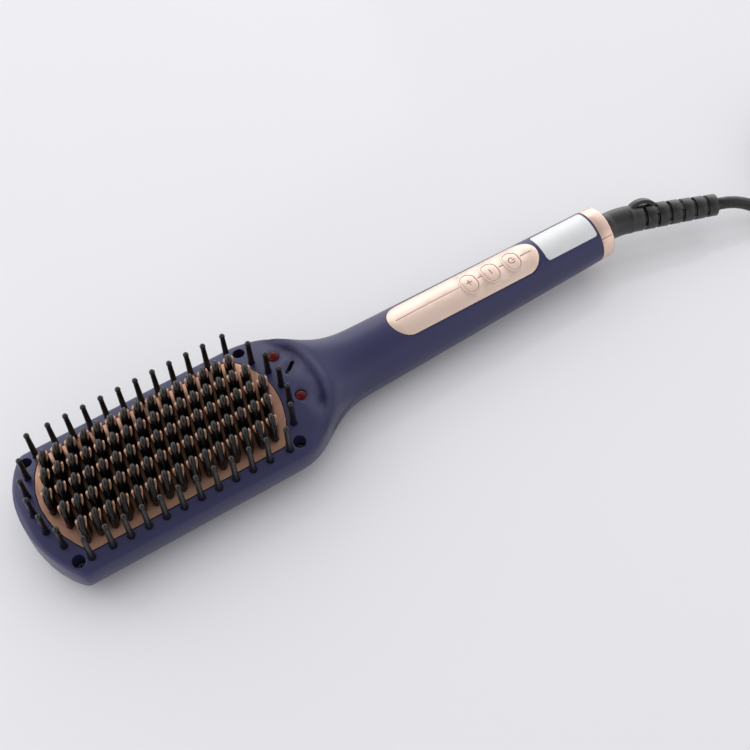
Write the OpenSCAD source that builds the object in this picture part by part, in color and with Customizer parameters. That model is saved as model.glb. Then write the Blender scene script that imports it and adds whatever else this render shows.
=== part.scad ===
/* [Overall] */
// Length from the tip of the head to the end of the tail collar
overall_len = 300; // [290:1:315]
// Height of the bristle feet above the surface the brush lies on
face_z = 27.5; // [27:0.1:29]
// Wall thickness of the two housing shells
wall = 2.2; // [1.8:0.1:2.6]
// Gap left between the two shells at the parting line
parting_gap = 0.1; // [0.05:0.05:0.3]
// Height of the parting line along the head
parting_z_head = 12.5; // [12:0.1:13]
// Height of the parting line at the front of the handle
parting_z_grip = 9; // [8:0.1:9.5]
// Height of the parting line at the tail
parting_z_tail = 13; // [12:0.1:13.5]

/* [Head] */
// Half width of the head
head_half_w = 34.5; // [34:0.1:36]
// Radius of the tip's arc, seen from above
tip_arc_r = 54; // [45:0.5:58]
// Length over which the back rises towards the tip
tip_belly_len = 9; // [6:0.5:20]
// Distance from the tip to the middle of the head
tip_reach = 65.5; // [64.5:0.5:68]
// Radius of the crown of the face, across the head
crown_r = 115; // [105:1:140]
// Height of the crown's middle above the bristle feet
crown_h = 3.6; // [3:0.1:4.2]
// Radius on the rim of the face
rim_r = 2; // [1.5:0.1:2.4]
// Height at which the head's side walls start to round into the back
belly_z = 20; // [18:0.5:21]
// Squareness of the neck's top where it leaves the head
neck_square = 6; // [2:0.5:8]
// Roundness of the head's back, smaller is fuller
belly_power = 0.95; // [0.85:0.01:1]
// Distance from the middle of the head to the start of the neck
neck_start = 48; // [46:0.5:50]
// Length constant of the neck's flare
neck_reach = 26.7; // [24:0.1:29]
// Steepness of the neck's flare
neck_power = 2.5; // [2.2:0.1:2.8]
// Distance from the middle of the head to the step above the face
step_reach = 74; // [72:0.5:76]
// Length over which the step rises
step_len = 4.5; // [3:0.5:6]

/* [Handle] */
// Distance from the middle of the head to the front of the handle
grip_start = 104; // [100:1:108]
// Radius of the handle at its front
grip_r = 15.5; // [15.4:0.1:16.4]
// Radius of the handle at its tail
tail_r = 12.55; // [12.4:0.05:13.5]
// Height of the handle's top line at its front
grip_top = 33.8; // [33.1:0.1:34.5]
// Height of the handle's top line at its tail
tail_top = 32.9; // [31.5:0.1:33.5]
// Length of the tail collar
collar_len = 7; // [6:0.5:9]
// Thickness of the collar's wall
collar_wall = 2; // [1.5:0.1:2.4]
// Width of the short slit in the collar
slit_w = 0.5; // [0.3:0.1:1]

/* [Heating plate] */
// Length of the heating plate
plate_len = 111; // [108:1:112]
// Width of the heating plate
plate_w = 53.2; // [52:0.2:54]
// Radius of the heating plate's two ends
plate_end_r = 41; // [38:1:46]
// Thickness of the heating plate
plate_t = 1.4; // [1:0.1:1.8]
// Gap around the heating plate in its window
plate_gap = 0.35; // [0.2:0.05:0.6]
// Distance between neighbouring slots along the brush
slot_pitch = 6.36; // [6.2:0.02:6.6]
// Slots on each side of the middle one
slots_each_side = 8; // [6:1:8]
// Angle of the slots from straight across
slot_slant = 17.6; // [12:0.1:20]
// Width of a slot
slot_w = 3.1; // [2.9:0.1:3.3]
// Distance between neighbouring teeth across the brush
tooth_pitch = 9.3; // [9:0.1:9.5]
// Teeth on each side of the middle one in a full slot
teeth_each_side = 2; // [1:1:2]
// Thickness of a nylon tooth
tooth_t = 2.6; // [2.3:0.1:2.7]
// Height of a nylon tooth above the plate
tooth_h = 13.2; // [11:0.2:14]
// Radius of a tooth's crest
crest_r = 3.1; // [2.6:0.1:3.6]
// Height of the metal cheeks beside a tooth
cheek_h = 10.8; // [8:0.2:11.4]
// Half width of a pair of cheeks at its fattest
cheek_half_w = 2.4; // [2.2:0.1:2.6]
// Gap between a tooth and its cheeks
tooth_gap = 0.15; // [0.1:0.05:0.3]

/* [Bristles] */
// Distance between neighbouring bristles along the sides
bristle_pitch = 8.26; // [8:0.02:8.4]
// Inner bristles along each side
bristles_inner = 10; // [8:2:10]
// Distance from the last inner bristle to the corner bristle
corner_pitch = 9.7; // [9:0.1:9.9]
// Distance of the side bristles from the middle line
bristle_row_y = 28.8; // [28.4:0.1:29.2]
// Radius of the arc of end bristles
bristle_arc_r = 40; // [38:0.5:42]
// Distance from the middle of the head to the middle end bristle
bristle_arc_x = 59.3; // [58.8:0.1:60]
// Angle between neighbouring end bristles
bristle_arc_step = 14.2; // [13:0.1:15]
// Height of the bristle tips above the bristle feet
bristle_h = 17.6; // [15:0.2:18.4]
// Radius of a bristle at its foot
bristle_foot_r = 1.4; // [1.2:0.05:1.45]
// Radius of a bristle below its tip
bristle_tip_r = 1.1; // [0.9:0.05:1.2]
// Radius of the bead on a bristle's tip
bristle_bead_r = 1.3; // [1.2:0.05:1.4]
// Radius of the bristle holes in the face
bristle_hole_r = 1.6; // [1.55:0.05:1.8]

/* [Head screws] */
// Distance between the head screws along the brush
screw_span_x = 104.5; // [103:0.5:106]
// Distance between the head screws across the brush
screw_span_y = 55.5; // [54.5:0.5:56]
// Radius of the screw wells in the face
well_r = 2.9; // [2.7:0.1:3.1]
// Radius of a screw's head
screw_head_r = 2.5; // [2.2:0.1:2.6]
// Radius of a screw's shank
screw_r = 1.3; // [1.1:0.1:1.4]
// Height of the well's floor above the surface
well_floor_z = 19; // [17:0.5:20]

/* [Lamps and ion outlet] */
// Distance of the lamps from the middle of the head
lamp_x = 64; // [63.5:0.1:65]
// Place of the first lamp across the head
lamp_a_y = 16; // [15:0.1:17]
// Place of the second lamp across the head
lamp_b_y = -9; // [-10:0.1:-8]
// Radius of a lamp lens
lamp_r = 2.6; // [2.3:0.1:2.8]
// Distance of the ion slot's middle from the middle of the head
ion_x = 67.2; // [67:0.1:68]
// Place of the ion slot's middle across the head
ion_y = 6.4; // [6:0.1:7]
// Length of the ion slot
ion_len = 7.6; // [6.5:0.1:8]
// Width of the ion slot
ion_w = 2; // [1.8:0.1:2.4]
// Angle of the ion slot from straight along the brush
ion_angle = 38; // [30:1:50]

/* [Control panel] */
// Distance from the middle of the head to the front of the panel
panel_start = 115.5; // [113:0.5:116]
// Length of the control panel
panel_len = 80.5; // [80:0.5:82]
// Width of the control panel
panel_w = 18; // [17.6:0.2:19]
// Thickness of the control panel
panel_t = 1.5; // [1.2:0.1:1.8]
// Height that the panel stands proud of the handle
panel_proud = 0.2; // [0.1:0.05:0.4]
// Distance from the middle of the head to the first button
button_start = 158.7; // [158:0.1:160]
// Distance between neighbouring buttons
button_pitch = 11.8; // [11.5:0.1:12]
// Length of a button across the handle
button_l = 10; // [9.4:0.1:10.4]
// Width of a button along the handle
button_w = 7; // [6.6:0.1:7.2]
// Gap around a button
button_gap = 0.2; // [0.15:0.05:0.3]
// Width of the raised rim around a button
button_rim = 0.8; // [0.6:0.1:0.9]
// Height that a button stands proud of the panel
button_proud = 0.4; // [0.3:0.1:0.8]
// Travel of a button
button_travel = 0.4; // [0.2:0.05:0.5]
// Length of the label's place along the handle
label_len = 28.5; // [26:0.5:29]
// Angle that the label wraps round the handle
label_angle = 84; // [70:1:90]
// Thickness of the label's film
label_t = 0.15; // [0.1:0.05:0.25]

/* [Inside the head] */
// Thickness of the heat spreader below its grooves
spreader_t = 2; // [1.6:0.1:2.4]
// Height of the comb's bars under the plate
bar_h = 2.5; // [2:0.1:2.8]
// Length of the ceramic heater
heater_len = 70; // [60:1:80]
// Width of the ceramic heater
heater_w = 20; // [16:1:24]
// Thickness of the ceramic heater
heater_t = 1.6; // [1.2:0.1:2]
// Thickness of the mica sheet
mica_t = 0.5; // [0.4:0.1:0.8]
// Thickness of the heater clamp
clamp_t = 0.8; // [0.6:0.1:1]
// Width of the bristle frame's rail
rail_w = 4.4; // [4:0.1:4.8]
// Thickness of the bristle frame
rail_t = 2; // [1.6:0.1:2.4]

/* [Inside the handle] */
// Thickness of the circuit boards
board_t = 1.6; // [1.2:0.1:1.8]
// Width of the control board
board_w = 17; // [15:0.5:18]
// Length of the control board
board_len = 96; // [90:1:100]
// Height of the control board's top above the surface
board_z = 24; // [23:0.1:24.4]
// Height of a key switch's body
switch_h = 3.1; // [2.8:0.1:3.3]

/* [Tail and cord] */
// Radius of the swivel's barrel
barrel_r = 8.6; // [8:0.1:9]
// Running gap around the swivel's barrel
swivel_gap = 0.08; // [0.05:0.01:0.1]
// Radius of the smooth neck of the cable boot
boot_r = 6.8; // [6.4:0.1:7.2]
// Angle by which the boot bends sideways
boot_bend = 18; // [15:1:20]
// Angle by which the bend dips below level
boot_dip = 15; // [10:1:20]
// Radius of the boot's bend
boot_bend_r = 34; // [30:1:40]
// Length of the boot's ribbed part
rib_len = 45.5; // [42:0.5:48]
// Number of rings on the boot
rib_count = 7; // [5:1:9]
// Radius of the first ring
rib_r_first = 6.4; // [6:0.1:6.8]
// Radius of the last ring
rib_r_last = 5.4; // [5:0.1:5.8]
// Radius of the boot's core between the rings
core_r = 4.3; // [4:0.1:4.8]
// Thickness of the hanging loop
loop_t = 1.9; // [1.6:0.1:2.2]
// Width of the hanging loop
loop_w = 3.6; // [3:0.1:4]
// Angle by which the hanging loop leans to the far side
loop_lean = 45; // [20:5:60]
// Diameter of the cord
cord_d = 6; // [5.6:0.1:6.2]
// Length of a plug pin
pin_len = 19; // [18:0.5:19]
// Radius of a plug pin
pin_r = 2; // [1.9:0.05:2.1]
// Distance between the plug pins
pin_span = 18.6; // [17.8:0.2:19.2]

/* [Hidden] */

$fn = 48;
eps = 0.01;
tip_x = -overall_len / 2;
end_x = overall_len / 2;
head_x = tip_x + tip_reach;
shell_end_x = end_x - collar_len;
grip_x = head_x + grip_start;
crown_z = face_z + crown_h;

navy = "midnightblue";
rose = "rosybrown";
black = [0.08, 0.08, 0.08];

// ---- outline of the housing ----

function clamp01(t) = min(1, max(0, t));
function smooth(t) = let (u = clamp01(t)) u * u * (3 - 2 * u);
function mix(a, b, t) = a + (b - a) * t;
function spow(a, p) = pow(max(a, 0), p);

// Share of the head's form that is left at a place along the brush
function flare(x) = let (h = x - head_x - neck_start)
    h < 0 ? 1 : exp(-pow(h / neck_reach, neck_power));

// Smaller of two widths, with a soft corner where they meet
function soft_min(a, b) = pow(pow(a, -48) + pow(b, -48), -1 / 48);

function grip_t(x) = clamp01((x - grip_x) / (end_x - grip_x));
function grip_radius(x) = mix(grip_r, tail_r, grip_t(x));
function top_line(x) = mix(grip_top, tail_top, grip_t(x));
function axis_z(x) = top_line(x) - grip_radius(x);
function half_w(x, inset) =
    let (
        side = mix(grip_radius(x), head_half_w, flare(x)) - inset,
        r = tip_arc_r - inset,
        run = tip_arc_r - (x - tip_x)
    )
    run <= 0 ? side : soft_min(side, sqrt(max(r * r - run * run, 0.04)));
function knee_z(x) = mix(axis_z(x), belly_z, flare(x));
function floor_z(x) = mix(axis_z(x) - grip_radius(x), -1, flare(x));

// Crowned face of the head, and the handle's round top
function crown(y) = crown_z + sqrt(crown_r * crown_r - y * y) - crown_r;
function tip_drop(x, inset) = let (d = x - tip_x - inset)
    d < rim_r ? rim_r - sqrt(rim_r * rim_r - pow(rim_r - max(d, 0), 2)) : 0;
function face_top(x, y, w, inset) = let (d = max(w - abs(y), 0))
    crown(y) - inset - tip_drop(x, inset)
    - (d < rim_r ? rim_r - sqrt(rim_r * rim_r - pow(rim_r - d, 2)) : 0);
function neck_top(x, y, w, inset) = let (n = 2 + neck_square * flare(x))
    axis_z(x) + (top_line(x) - inset - axis_z(x)) * pow(1 - spow(abs(y) / w, n), 1 / n);
function step_x(y) = head_x + 40 + (step_reach - 40)
    * pow(max(1 - pow(min(abs(y), 35.9) / 36, 2.5), 0), 0.4);
function top_z(x, y, w, inset) = mix(face_top(x, y, w, inset), neck_top(x, y, w, inset),
    smooth((x + inset - step_x(y)) / step_len + 0.2));

// One closed ring of the housing's skin, at a place along it
function ring(x, inset, n_top, n_low) =
    let (
        w = half_w(x, inset),
        knee = knee_z(x) - 0.02,
        d = x - tip_x - inset,
        run = tip_belly_len - inset,
        share = d < run ? sqrt(1 - pow(1 - max(d, 0) / run, 2)) : 1,
        drop = (knee - floor_z(x) - inset) * share,
        fullness = mix(1, belly_power, flare(x))
    )
    concat(
        [for (i = [0:n_top]) let (y = w * cos(180 * i / n_top)) [x, y, top_z(x, y, w, inset)]],
        [for (i = [0:n_low]) let (a = 90 * i / n_low)
            [x, -w * pow(cos(a), fullness), max(knee - drop * sin(a), inset)]],
        [for (i = [n_low - 1:-1:0]) let (a = 90 * i / n_low)
            [x, w * pow(cos(a), fullness), max(knee - drop * sin(a), inset)]]
    );

function skin_places() = concat(
    [for (d = [0.04, 0.3, 0.8, 1.6, 3, 5, 7.5, 9.5, 11, 12.3, 13.6, 15, 17, 20]) tip_x + d],
    [head_x + 0, head_x + neck_start],
    [for (h = [neck_start + 3:3:step_reach - 17]) head_x + h],
    [for (h = [step_reach - 15.5:1.5:step_reach + 6]) head_x + h],
    [for (h = [step_reach + 9:3:grip_start + 1]) head_x + h],
    [grip_x + 30, grip_x + 70]
);
function hollow_places(inset) = concat(
    [for (d = [0.3, 2, 5, 9, 12, 15, 20]) tip_x + inset + d],
    [head_x, head_x + neck_start],
    [for (h = [neck_start + 6:6:grip_start]) head_x + h]
);

// A closed skin through rings of equal length
module loft(rings) {
    n = len(rings[0]);
    m = len(rings);
    points = [for (r = rings) for (p = r) p];
    first = [for (j = [1:n - 2]) [0, j, j + 1]];
    last = [for (j = [1:n - 2]) let (b = (m - 1) * n) [b, b + j + 1, b + j]];
    sides = [for (i = [0:m - 2]) for (j = [0:n - 1]) let (
        a = i * n + j,
        b = i * n + (j + 1) % n
    ) each [[a, b + n, b], [a, a + n, b + n]]];
    polyhedron(points = points, faces = concat(first, last, sides), convexity = 8);
}

module housing_body(x_end) {
    places = concat(skin_places(), [x_end]);
    loft([for (x = places) ring(x, 0, 20, 9)]);
}

module housing_hollow() {
    places = concat(hollow_places(wall), [shell_end_x + 1]);
    loft([for (x = places) ring(x, wall, 12, 6)]);
}

// Side view of the space below the parting line
module below_parting(gap) {
    rotate([90, 0, 0])
        linear_extrude(height = 100, center = true)
            polygon([
                [tip_x - 10, -5],
                [end_x + 10, -5],
                [end_x + 10, parting_z_tail - gap],
                [grip_x, parting_z_grip - gap],
                [head_x + neck_start, parting_z_head - gap],
                [tip_x - 10, parting_z_head - gap]
            ]);
}

// ---- shared outlines and patterns ----

module plate_outline(grow) {
    reach = plate_len / 2 - plate_end_r;
    intersection() {
        union() {
            for (s = [-1, 1])
                translate([s * reach, 0]) circle(r = plate_end_r + grow, $fn = 96);
            square([2 * reach, 2 * plate_end_r], center = true);
        }
        square([plate_len + 20, plate_w + 2 * grow], center = true);
    }
}

// Solid bounded by the crowned face, lowered by a distance
module under_crown(lower, x_half) {
    translate([head_x, 0, crown_z - crown_r])
        rotate([0, 90, 0])
            cylinder(r = crown_r - lower, h = 2 * x_half, center = true, $fn = 360);
}

module stadium(length, width) {
    for (s = [-1, 1])
        translate([s * (length - width) / 2, 0]) circle(d = width);
    square([length - width, width], center = true);
}

function slot_numbers() = [-slots_each_side:slots_each_side];
// First and last tooth of a slot: the end slots are cut short by the plate's round ends
function short_by(i) = max(0, abs(i) - (slots_each_side - 2));
function first_tooth(i) = -teeth_each_side + (i < 0 ? short_by(i) : 0);
function last_tooth(i) = teeth_each_side - (i > 0 ? short_by(i) : 0);
function tooth_place(i, j) = [head_x + slot_pitch * i + tooth_pitch * j * tan(slot_slant),
    tooth_pitch * j];
along = tooth_pitch / cos(slot_slant);

module at_slot(i) {
    a = tooth_place(i, (first_tooth(i) + last_tooth(i)) / 2);
    translate([a[0], a[1], 0]) rotate([0, 0, 90 - slot_slant]) children();
}

function slot_len(i) = along * (last_tooth(i) - first_tooth(i) + 1);

// Round crest on straight flanks that lean in from the foot
module arch_flank(run, z, radius) {
    drop = z - face_z;
    slope = atan((run - radius) / drop);
    touch = [radius * sin(slope), radius * cos(slope)];
    circle(r = radius);
    polygon([
        [-drop - 8, -run],
        [-drop, -run],
        [touch[0], -touch[1]],
        [touch[0], touch[1]],
        [-drop, run],
        [-drop - 8, run]
    ]);
}

// Rows of arches across the brush, which every tooth and cheek is cut to
module arch_rows(foot, height, radius) {
    span = slot_pitch * (2 * slots_each_side + 4) + 30;
    translate([head_x, 0, 0])
        rotate([90, 0, 90])
            linear_extrude(height = span, center = true)
                for (j = [-teeth_each_side:teeth_each_side])
                    translate([tooth_pitch * j, crown(tooth_pitch * j) + height - radius])
                        rotate(90)
                            arch_flank(foot / 2, crown(tooth_pitch * j) + height - radius, radius);
}

function bristle_places() = concat(
    [for (s = [-1, 1]) for (i = [0:bristles_inner - 1])
        [head_x + (i - (bristles_inner - 1) / 2) * bristle_pitch, s * bristle_row_y]],
    [for (s = [-1, 1]) for (e = [-1, 1])
        [head_x + e * ((bristles_inner - 1) / 2 * bristle_pitch + corner_pitch), s * bristle_row_y]],
    [for (e = [-1, 1]) for (k = [-2:2])
        [head_x + e * (bristle_arc_x - bristle_arc_r + bristle_arc_r * cos(k * bristle_arc_step)),
            bristle_arc_r * sin(k * bristle_arc_step)]]
);

module at_screws() {
    for (sx = [-1, 1])
        for (sy = [-1, 1])
            translate([head_x + sx * screw_span_x / 2, sy * screw_span_y / 2, 0]) children();
}

module at_lamps() {
    for (y = [lamp_a_y, lamp_b_y])
        translate([head_x + lamp_x, y, 0]) children();
}

function button_x(i) = head_x + button_start + button_pitch * i;
module at_button(i) {
    translate([button_x(i), 0, 0]) children();
}

// Cone that lies off the handle's skin by a distance
module grip_cone(x0, x1, off, sides = 180) {
    lean = atan((axis_z(x1) - axis_z(x0)) / (x1 - x0));
    translate([x0, 0, axis_z(x0)])
        rotate([0, 90 - lean, 0])
            cylinder(r1 = grip_radius(x0) + off, r2 = grip_radius(x1) + off,
                h = (x1 - x0) / cos(lean), $fn = sides);
}

panel_x = head_x + panel_start + panel_len / 2;
module panel_outline(grow) {
    stadium(panel_len + 2 * grow, panel_w + 2 * grow);
}

// ---- housing ----

module front_shell() color(navy) {
    difference() {
        union() {
            difference() {
                housing_body(shell_end_x);
                housing_hollow();
            }
            intersection() {
                housing_body(shell_end_x);
                at_screws() screw_well();
            }
        }
        below_parting(-parting_gap / 2);
        translate([head_x, 0, face_z - 12])
            linear_extrude(height = 30) plate_window();
        for (p = bristle_places())
            translate([p[0], p[1], face_z - 8]) cylinder(r = bristle_hole_r, h = 20, $fn = 8);
        at_screws() {
            translate([0, 0, well_floor_z]) cylinder(r = well_r, h = 30, $fn = 20);
            cylinder(r = screw_r + 0.2, h = 40, $fn = 12);
        }
        at_lamps() translate([0, 0, face_z - 8]) cylinder(r = lamp_r + 0.15, h = 20, $fn = 20);
        ion_cut(0, 20);
        panel_cut();
    }
}

module plate_window() {
    reach = plate_len / 2 - plate_end_r;
    intersection() {
        hull() {
            for (s = [-1, 1])
                translate([s * reach, 0]) circle(r = plate_end_r + plate_gap, $fn = 72);
        }
        square([plate_len + 20, plate_w + 2 * plate_gap], center = true);
    }
}

// Tube for a head screw, with a gusset towards the middle of the head
module screw_well() {
    translate([0, 0, parting_z_head - 2])
        cylinder(r = well_r + 1.3, h = 30, $fn = 20);
    for (a = [45, 225])
        hull() {
            rotate(a) translate([well_r + 2, 0, well_floor_z + 1]) cylinder(r = 0.6, h = 20, $fn = 8);
            rotate(a) translate([well_r, 0, well_floor_z - 3]) cylinder(r = 0.6, h = 20, $fn = 8);
        }
}

module ion_cut(grow, depth) {
    translate([head_x + ion_x, ion_y, face_z - 8])
        rotate(ion_angle)
            linear_extrude(height = depth)
                hull() {
                    for (s = [-1, 1])
                        translate([s * (ion_len - ion_w) / 2, 0]) circle(d = ion_w + grow, $fn = 16);
                }
}

// Seat for the panel, and the opening below it for the buttons
module panel_cut() {
    difference() {
        translate([panel_x, 0, board_z]) linear_extrude(height = 20) panel_hull(button_gap);
        grip_cone(panel_x - panel_len, panel_x + panel_len, panel_proud - panel_t - 0.03, 72);
    }
    translate([panel_x, 0, board_z]) linear_extrude(height = 20) panel_hull(-2);
}

module panel_hull(grow) {
    hull() {
        for (s = [-1, 1])
            translate([s * (panel_len - panel_w) / 2, 0])
                circle(d = panel_w + 2 * grow, $fn = 48);
    }
}

module rear_shell() color(navy) {
    difference() {
        union() {
            difference() {
                intersection() {
                    housing_body(shell_end_x);
                    below_parting(parting_gap / 2);
                }
                housing_hollow();
            }
            intersection() {
                housing_body(shell_end_x);
                union() {
                    intersection() {
                        at_screws() rear_boss();
                        below_parting(parting_gap / 2);
                    }
                    for (x = board_post_x())
                        translate([x, 0, 0]) board_post();
                    generator_rib(generator_x - 9);
                    generator_rib(generator_x + 9);
                }
            }
        }
        at_screws() translate([0, 0, boss_hole_z]) cylinder(r = screw_r + 0.05, h = 20, $fn = 16);
    }
}

boss_hole_z = 11;
// Boss that a head screw bites into, with gussets
module rear_boss() {
    translate([0, 0, 1]) cylinder(r = 3.2, h = parting_z_head, $fn = 20);
    for (a = [0, 90])
        rotate(a) hull() {
            translate([-4.6, -0.6, 1]) cube([9.2, 1.2, parting_z_head - 4]);
            translate([-3, -0.6, 1]) cube([6, 1.2, parting_z_head - 2]);
        }
}

function board_post_x() = [control_board_x - board_len / 2 + 5, control_board_x + board_len / 2 - 5];
module board_post() {
    difference() {
        translate([0, 0, 1]) cylinder(r = 3, h = board_z - board_t - 1.1, $fn = 20);
        translate([0, 0, board_z - 10]) cylinder(r = 1, h = 12, $fn = 12);
    }
}

generator_x = head_x + 92;
generator_z = 8.1;
module generator_rib(x) {
    translate([x - 0.8, -12, 0]) cube([1.6, 24, generator_z - 0.2]);
}

module head_screws() color([0.25, 0.25, 0.27]) {
    at_screws() {
        translate([0, 0, well_floor_z + 0.05])
            difference() {
                cylinder(r = screw_head_r, h = 2);
                translate([0, 0, 1]) {
                    cube([3.2, 0.7, 2.4], center = true);
                    cube([0.7, 3.2, 2.4], center = true);
                }
            }
        translate([0, 0, boss_hole_z + 0.2])
            cylinder(r = screw_r - 0.05, h = well_floor_z + 0.1 - boss_hole_z - 0.2);
    }
}

// ---- heating plate, comb and bristles ----

module heating_plate() color(rose) {
    difference() {
        intersection() {
            translate([head_x, 0, face_z - 10]) linear_extrude(height = 20) plate_outline(0);
            under_crown(0, plate_len / 2 + 5);
        }
        under_crown(plate_t, plate_len / 2 + 6);
        translate([0, 0, face_z - 10])
            linear_extrude(height = 30)
                for (i = slot_numbers())
                    at_slot(i) stadium(slot_len(i) - 0.5, slot_w);
    }
    cheeks();
}

// Thin lens-shaped metal walls that stand on both sides of every tooth
module cheeks() {
    difference() {
        intersection() {
            translate([0, 0, face_z - 1])
                linear_extrude(height = 30)
                    for (i = slot_numbers())
                        for (j = [first_tooth(i):last_tooth(i)])
                            translate(tooth_place(i, j)) rotate(90 - slot_slant) cheek_pair();
            arch_rows(tooth_pitch - 0.6, cheek_h, crest_r);
        }
        under_crown(plate_t - 0.4, plate_len / 2 + 7);
    }
}

module cheek_pair() {
    half = along / 2 - 0.55;
    lens_r = (half * half + cheek_half_w * cheek_half_w) / (2 * cheek_half_w);
    difference() {
        intersection() {
            translate([0, cheek_half_w - lens_r]) circle(r = lens_r, $fn = 96);
            translate([0, lens_r - cheek_half_w]) circle(r = lens_r, $fn = 96);
        }
        square([2 * along, tooth_t + 2 * tooth_gap], center = true);
    }
}

bar_top_z = crown(tooth_pitch * (teeth_each_side + 0.5)) - plate_t - 0.1;
bar_z = bar_top_z - bar_h;
bar_w = slot_w + 0.4;

module tooth_comb() color(black) {
    intersection() {
        translate([0, 0, bar_top_z - 0.5])
            linear_extrude(height = 30)
                for (i = slot_numbers())
                    at_slot(i) stadium(slot_len(i) - 0.9, tooth_t);
        arch_rows(tooth_pitch + 0.4, tooth_h, crest_r);
    }
    translate([0, 0, bar_z])
        linear_extrude(height = bar_h) {
            for (i = slot_numbers())
                at_slot(i) stadium(slot_len(i) - 0.5, bar_w);
            comb_rails();
        }
}

// Two rails that join the comb's bars near their ends
module comb_rails() {
    for (s = [-1, 1]) {
        reach = tooth_pitch * (teeth_each_side + 0.5) - 2.2;
        x_mid = head_x + s * (reach * tan(slot_slant) - slot_pitch);
        run = slot_pitch * (2 * slots_each_side - 2);
        translate([x_mid - run / 2 - 1, s * reach - 1]) square([run + 2, 2]);
    }
}

frame_z = face_z - wall - 3.6;
module bristle_frame() color(black) {
    difference() {
        translate([head_x, 0, frame_z])
            linear_extrude(height = rail_t) frame_outline(rail_w / 2);
        translate([head_x, 0, frame_z - 1])
            linear_extrude(height = rail_t + 2) frame_outline(-rail_w / 2);
        at_screws() cylinder(r = well_r + 1.6, h = 60);
    }
    for (p = bristle_places())
        translate([p[0], p[1], 0]) bristle(crown(abs(p[1])) - crown(bristle_row_y));
}

// Track of the side rows and end arcs, widened by a distance
module frame_outline(grow) {
    reach = bristle_arc_x - bristle_arc_r;
    intersection() {
        union() {
            for (s = [-1, 1])
                translate([s * reach, 0]) circle(r = bristle_arc_r + grow);
            square([2 * reach, 100], center = true);
        }
        square([200, 2 * (bristle_row_y + grow)], center = true);
    }
}

module bristle(foot_rise) {
    tip_z = face_z + bristle_h;
    foot_z = face_z + foot_rise;
    translate([0, 0, frame_z + 0.5]) cylinder(r = bristle_foot_r, h = foot_z + 0.4 - frame_z - 0.5);
    translate([0, 0, foot_z + 0.4])
        cylinder(r1 = bristle_foot_r, r2 = bristle_tip_r, h = tip_z - bristle_bead_r - foot_z - 0.4);
    translate([0, 0, tip_z - bristle_bead_r]) sphere(r = bristle_bead_r);
}

// ---- heater stack ----

spreader_z = bar_z - spreader_t;
module heat_spreader() color("silver") {
    difference() {
        intersection() {
            translate([head_x, 0, spreader_z]) linear_extrude(height = 20) plate_outline(-6);
            under_crown(plate_t + 0.1, plate_len / 2);
        }
        translate([0, 0, bar_z - 0.1])
            linear_extrude(height = 20)
                for (i = slot_numbers())
                    at_slot(i) square([slot_len(i) + 12, bar_w + 0.3], center = true);
        rail_cuts();
    }
}

module rail_cuts() {
    for (s = [-1, 1])
        translate([head_x - plate_len, s * (tooth_pitch * (teeth_each_side + 0.5) - 2.2) - 1.3, bar_z - 0.1])
            cube([2 * plate_len, 2.6, 20]);
}

heater_z = spreader_z - heater_t - 0.05;
module ceramic_heater() color("whitesmoke") {
    translate([head_x - heater_len / 2, -heater_w / 2, heater_z])
        cube([heater_len, heater_w, heater_t]);
}

mica_z = heater_z - mica_t - 0.05;
module mica_sheet() color("khaki") {
    translate([head_x - heater_len / 2 - 2, -heater_w / 2 - 1, mica_z])
        cube([heater_len + 4, heater_w + 2, mica_t]);
}

clamp_z = mica_z - clamp_t - 0.05;
clamp_half = heater_w / 2 + 6;
// Spring clamp with two ears that the clamp screws pull up to the spreader
module heater_clamp() color("gray") {
    difference() {
        union() {
            translate([head_x - 6, -heater_w / 2 - 1.8, clamp_z])
                cube([12, heater_w + 3.6, clamp_t]);
            for (s = [-1, 1]) {
                translate([head_x - 6, s * (heater_w / 2 + 1.4) - 0.4, clamp_z])
                    cube([12, 0.8, spreader_z - clamp_z - 0.05]);
                translate([head_x - 6, s > 0 ? heater_w / 2 + 1 : -clamp_half - 2, spreader_z - clamp_t - 0.05])
                    cube([12, 7, clamp_t]);
            }
        }
        for (s = [-1, 1])
            translate([head_x, s * (clamp_half - 1), 0]) cylinder(r = 1.4, h = 60);
    }
}

module clamp_screws() color([0.5, 0.5, 0.52]) {
    for (s = [-1, 1])
        translate([head_x, s * (clamp_half - 1), 0]) {
            translate([0, 0, spreader_z - clamp_t - 1.4]) cylinder(r = 2.2, h = 1.3);
            translate([0, 0, spreader_z - clamp_t - 0.2]) cylinder(r = 1.25, h = clamp_t + 0.1);
        }
}

fuse_x = head_x + 24;
module thermal_fuse() color("lightgray") {
    translate([fuse_x, -5, mica_z - 2.1])
        rotate([-90, 0, 0]) {
            cylinder(r = 2, h = 10);
            translate([0, 0, -5]) cylinder(r = 0.5, h = 20);
        }
}

sensor_x = head_x - 24;
module temperature_sensor() color("darkorange") {
    translate([sensor_x, 0, mica_z - 1.3]) {
        sphere(r = 1.2);
        rotate([0, 90, 0]) cylinder(r = 0.45, h = 12);
    }
}

// ---- ion outlet and lamps ----

module ion_emitter() color(black) {
    z0 = face_z - 8 + 1;
    top = crown(ion_y) - wall - 0.25;
    translate([head_x + ion_x, ion_y, 0])
        rotate(ion_angle) {
            translate([0, 0, z0])
                linear_extrude(height = top - z0)
                    difference() {
                        stadium(ion_len + 2, ion_w + 2.4);
                        stadium(ion_len - 1.2, ion_w);
                    }
            translate([0, 0, z0 - 1]) linear_extrude(height = 1.2) stadium(ion_len + 2, ion_w + 2.4);
            translate([-ion_len / 4, 0, z0]) cylinder(r = 0.6, h = top - z0 + 1.2);
        }
}

module ion_generator() color("dimgray") {
    translate([generator_x - 13, -8, generator_z])
        cube([26, 16, 10]);
}

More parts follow.
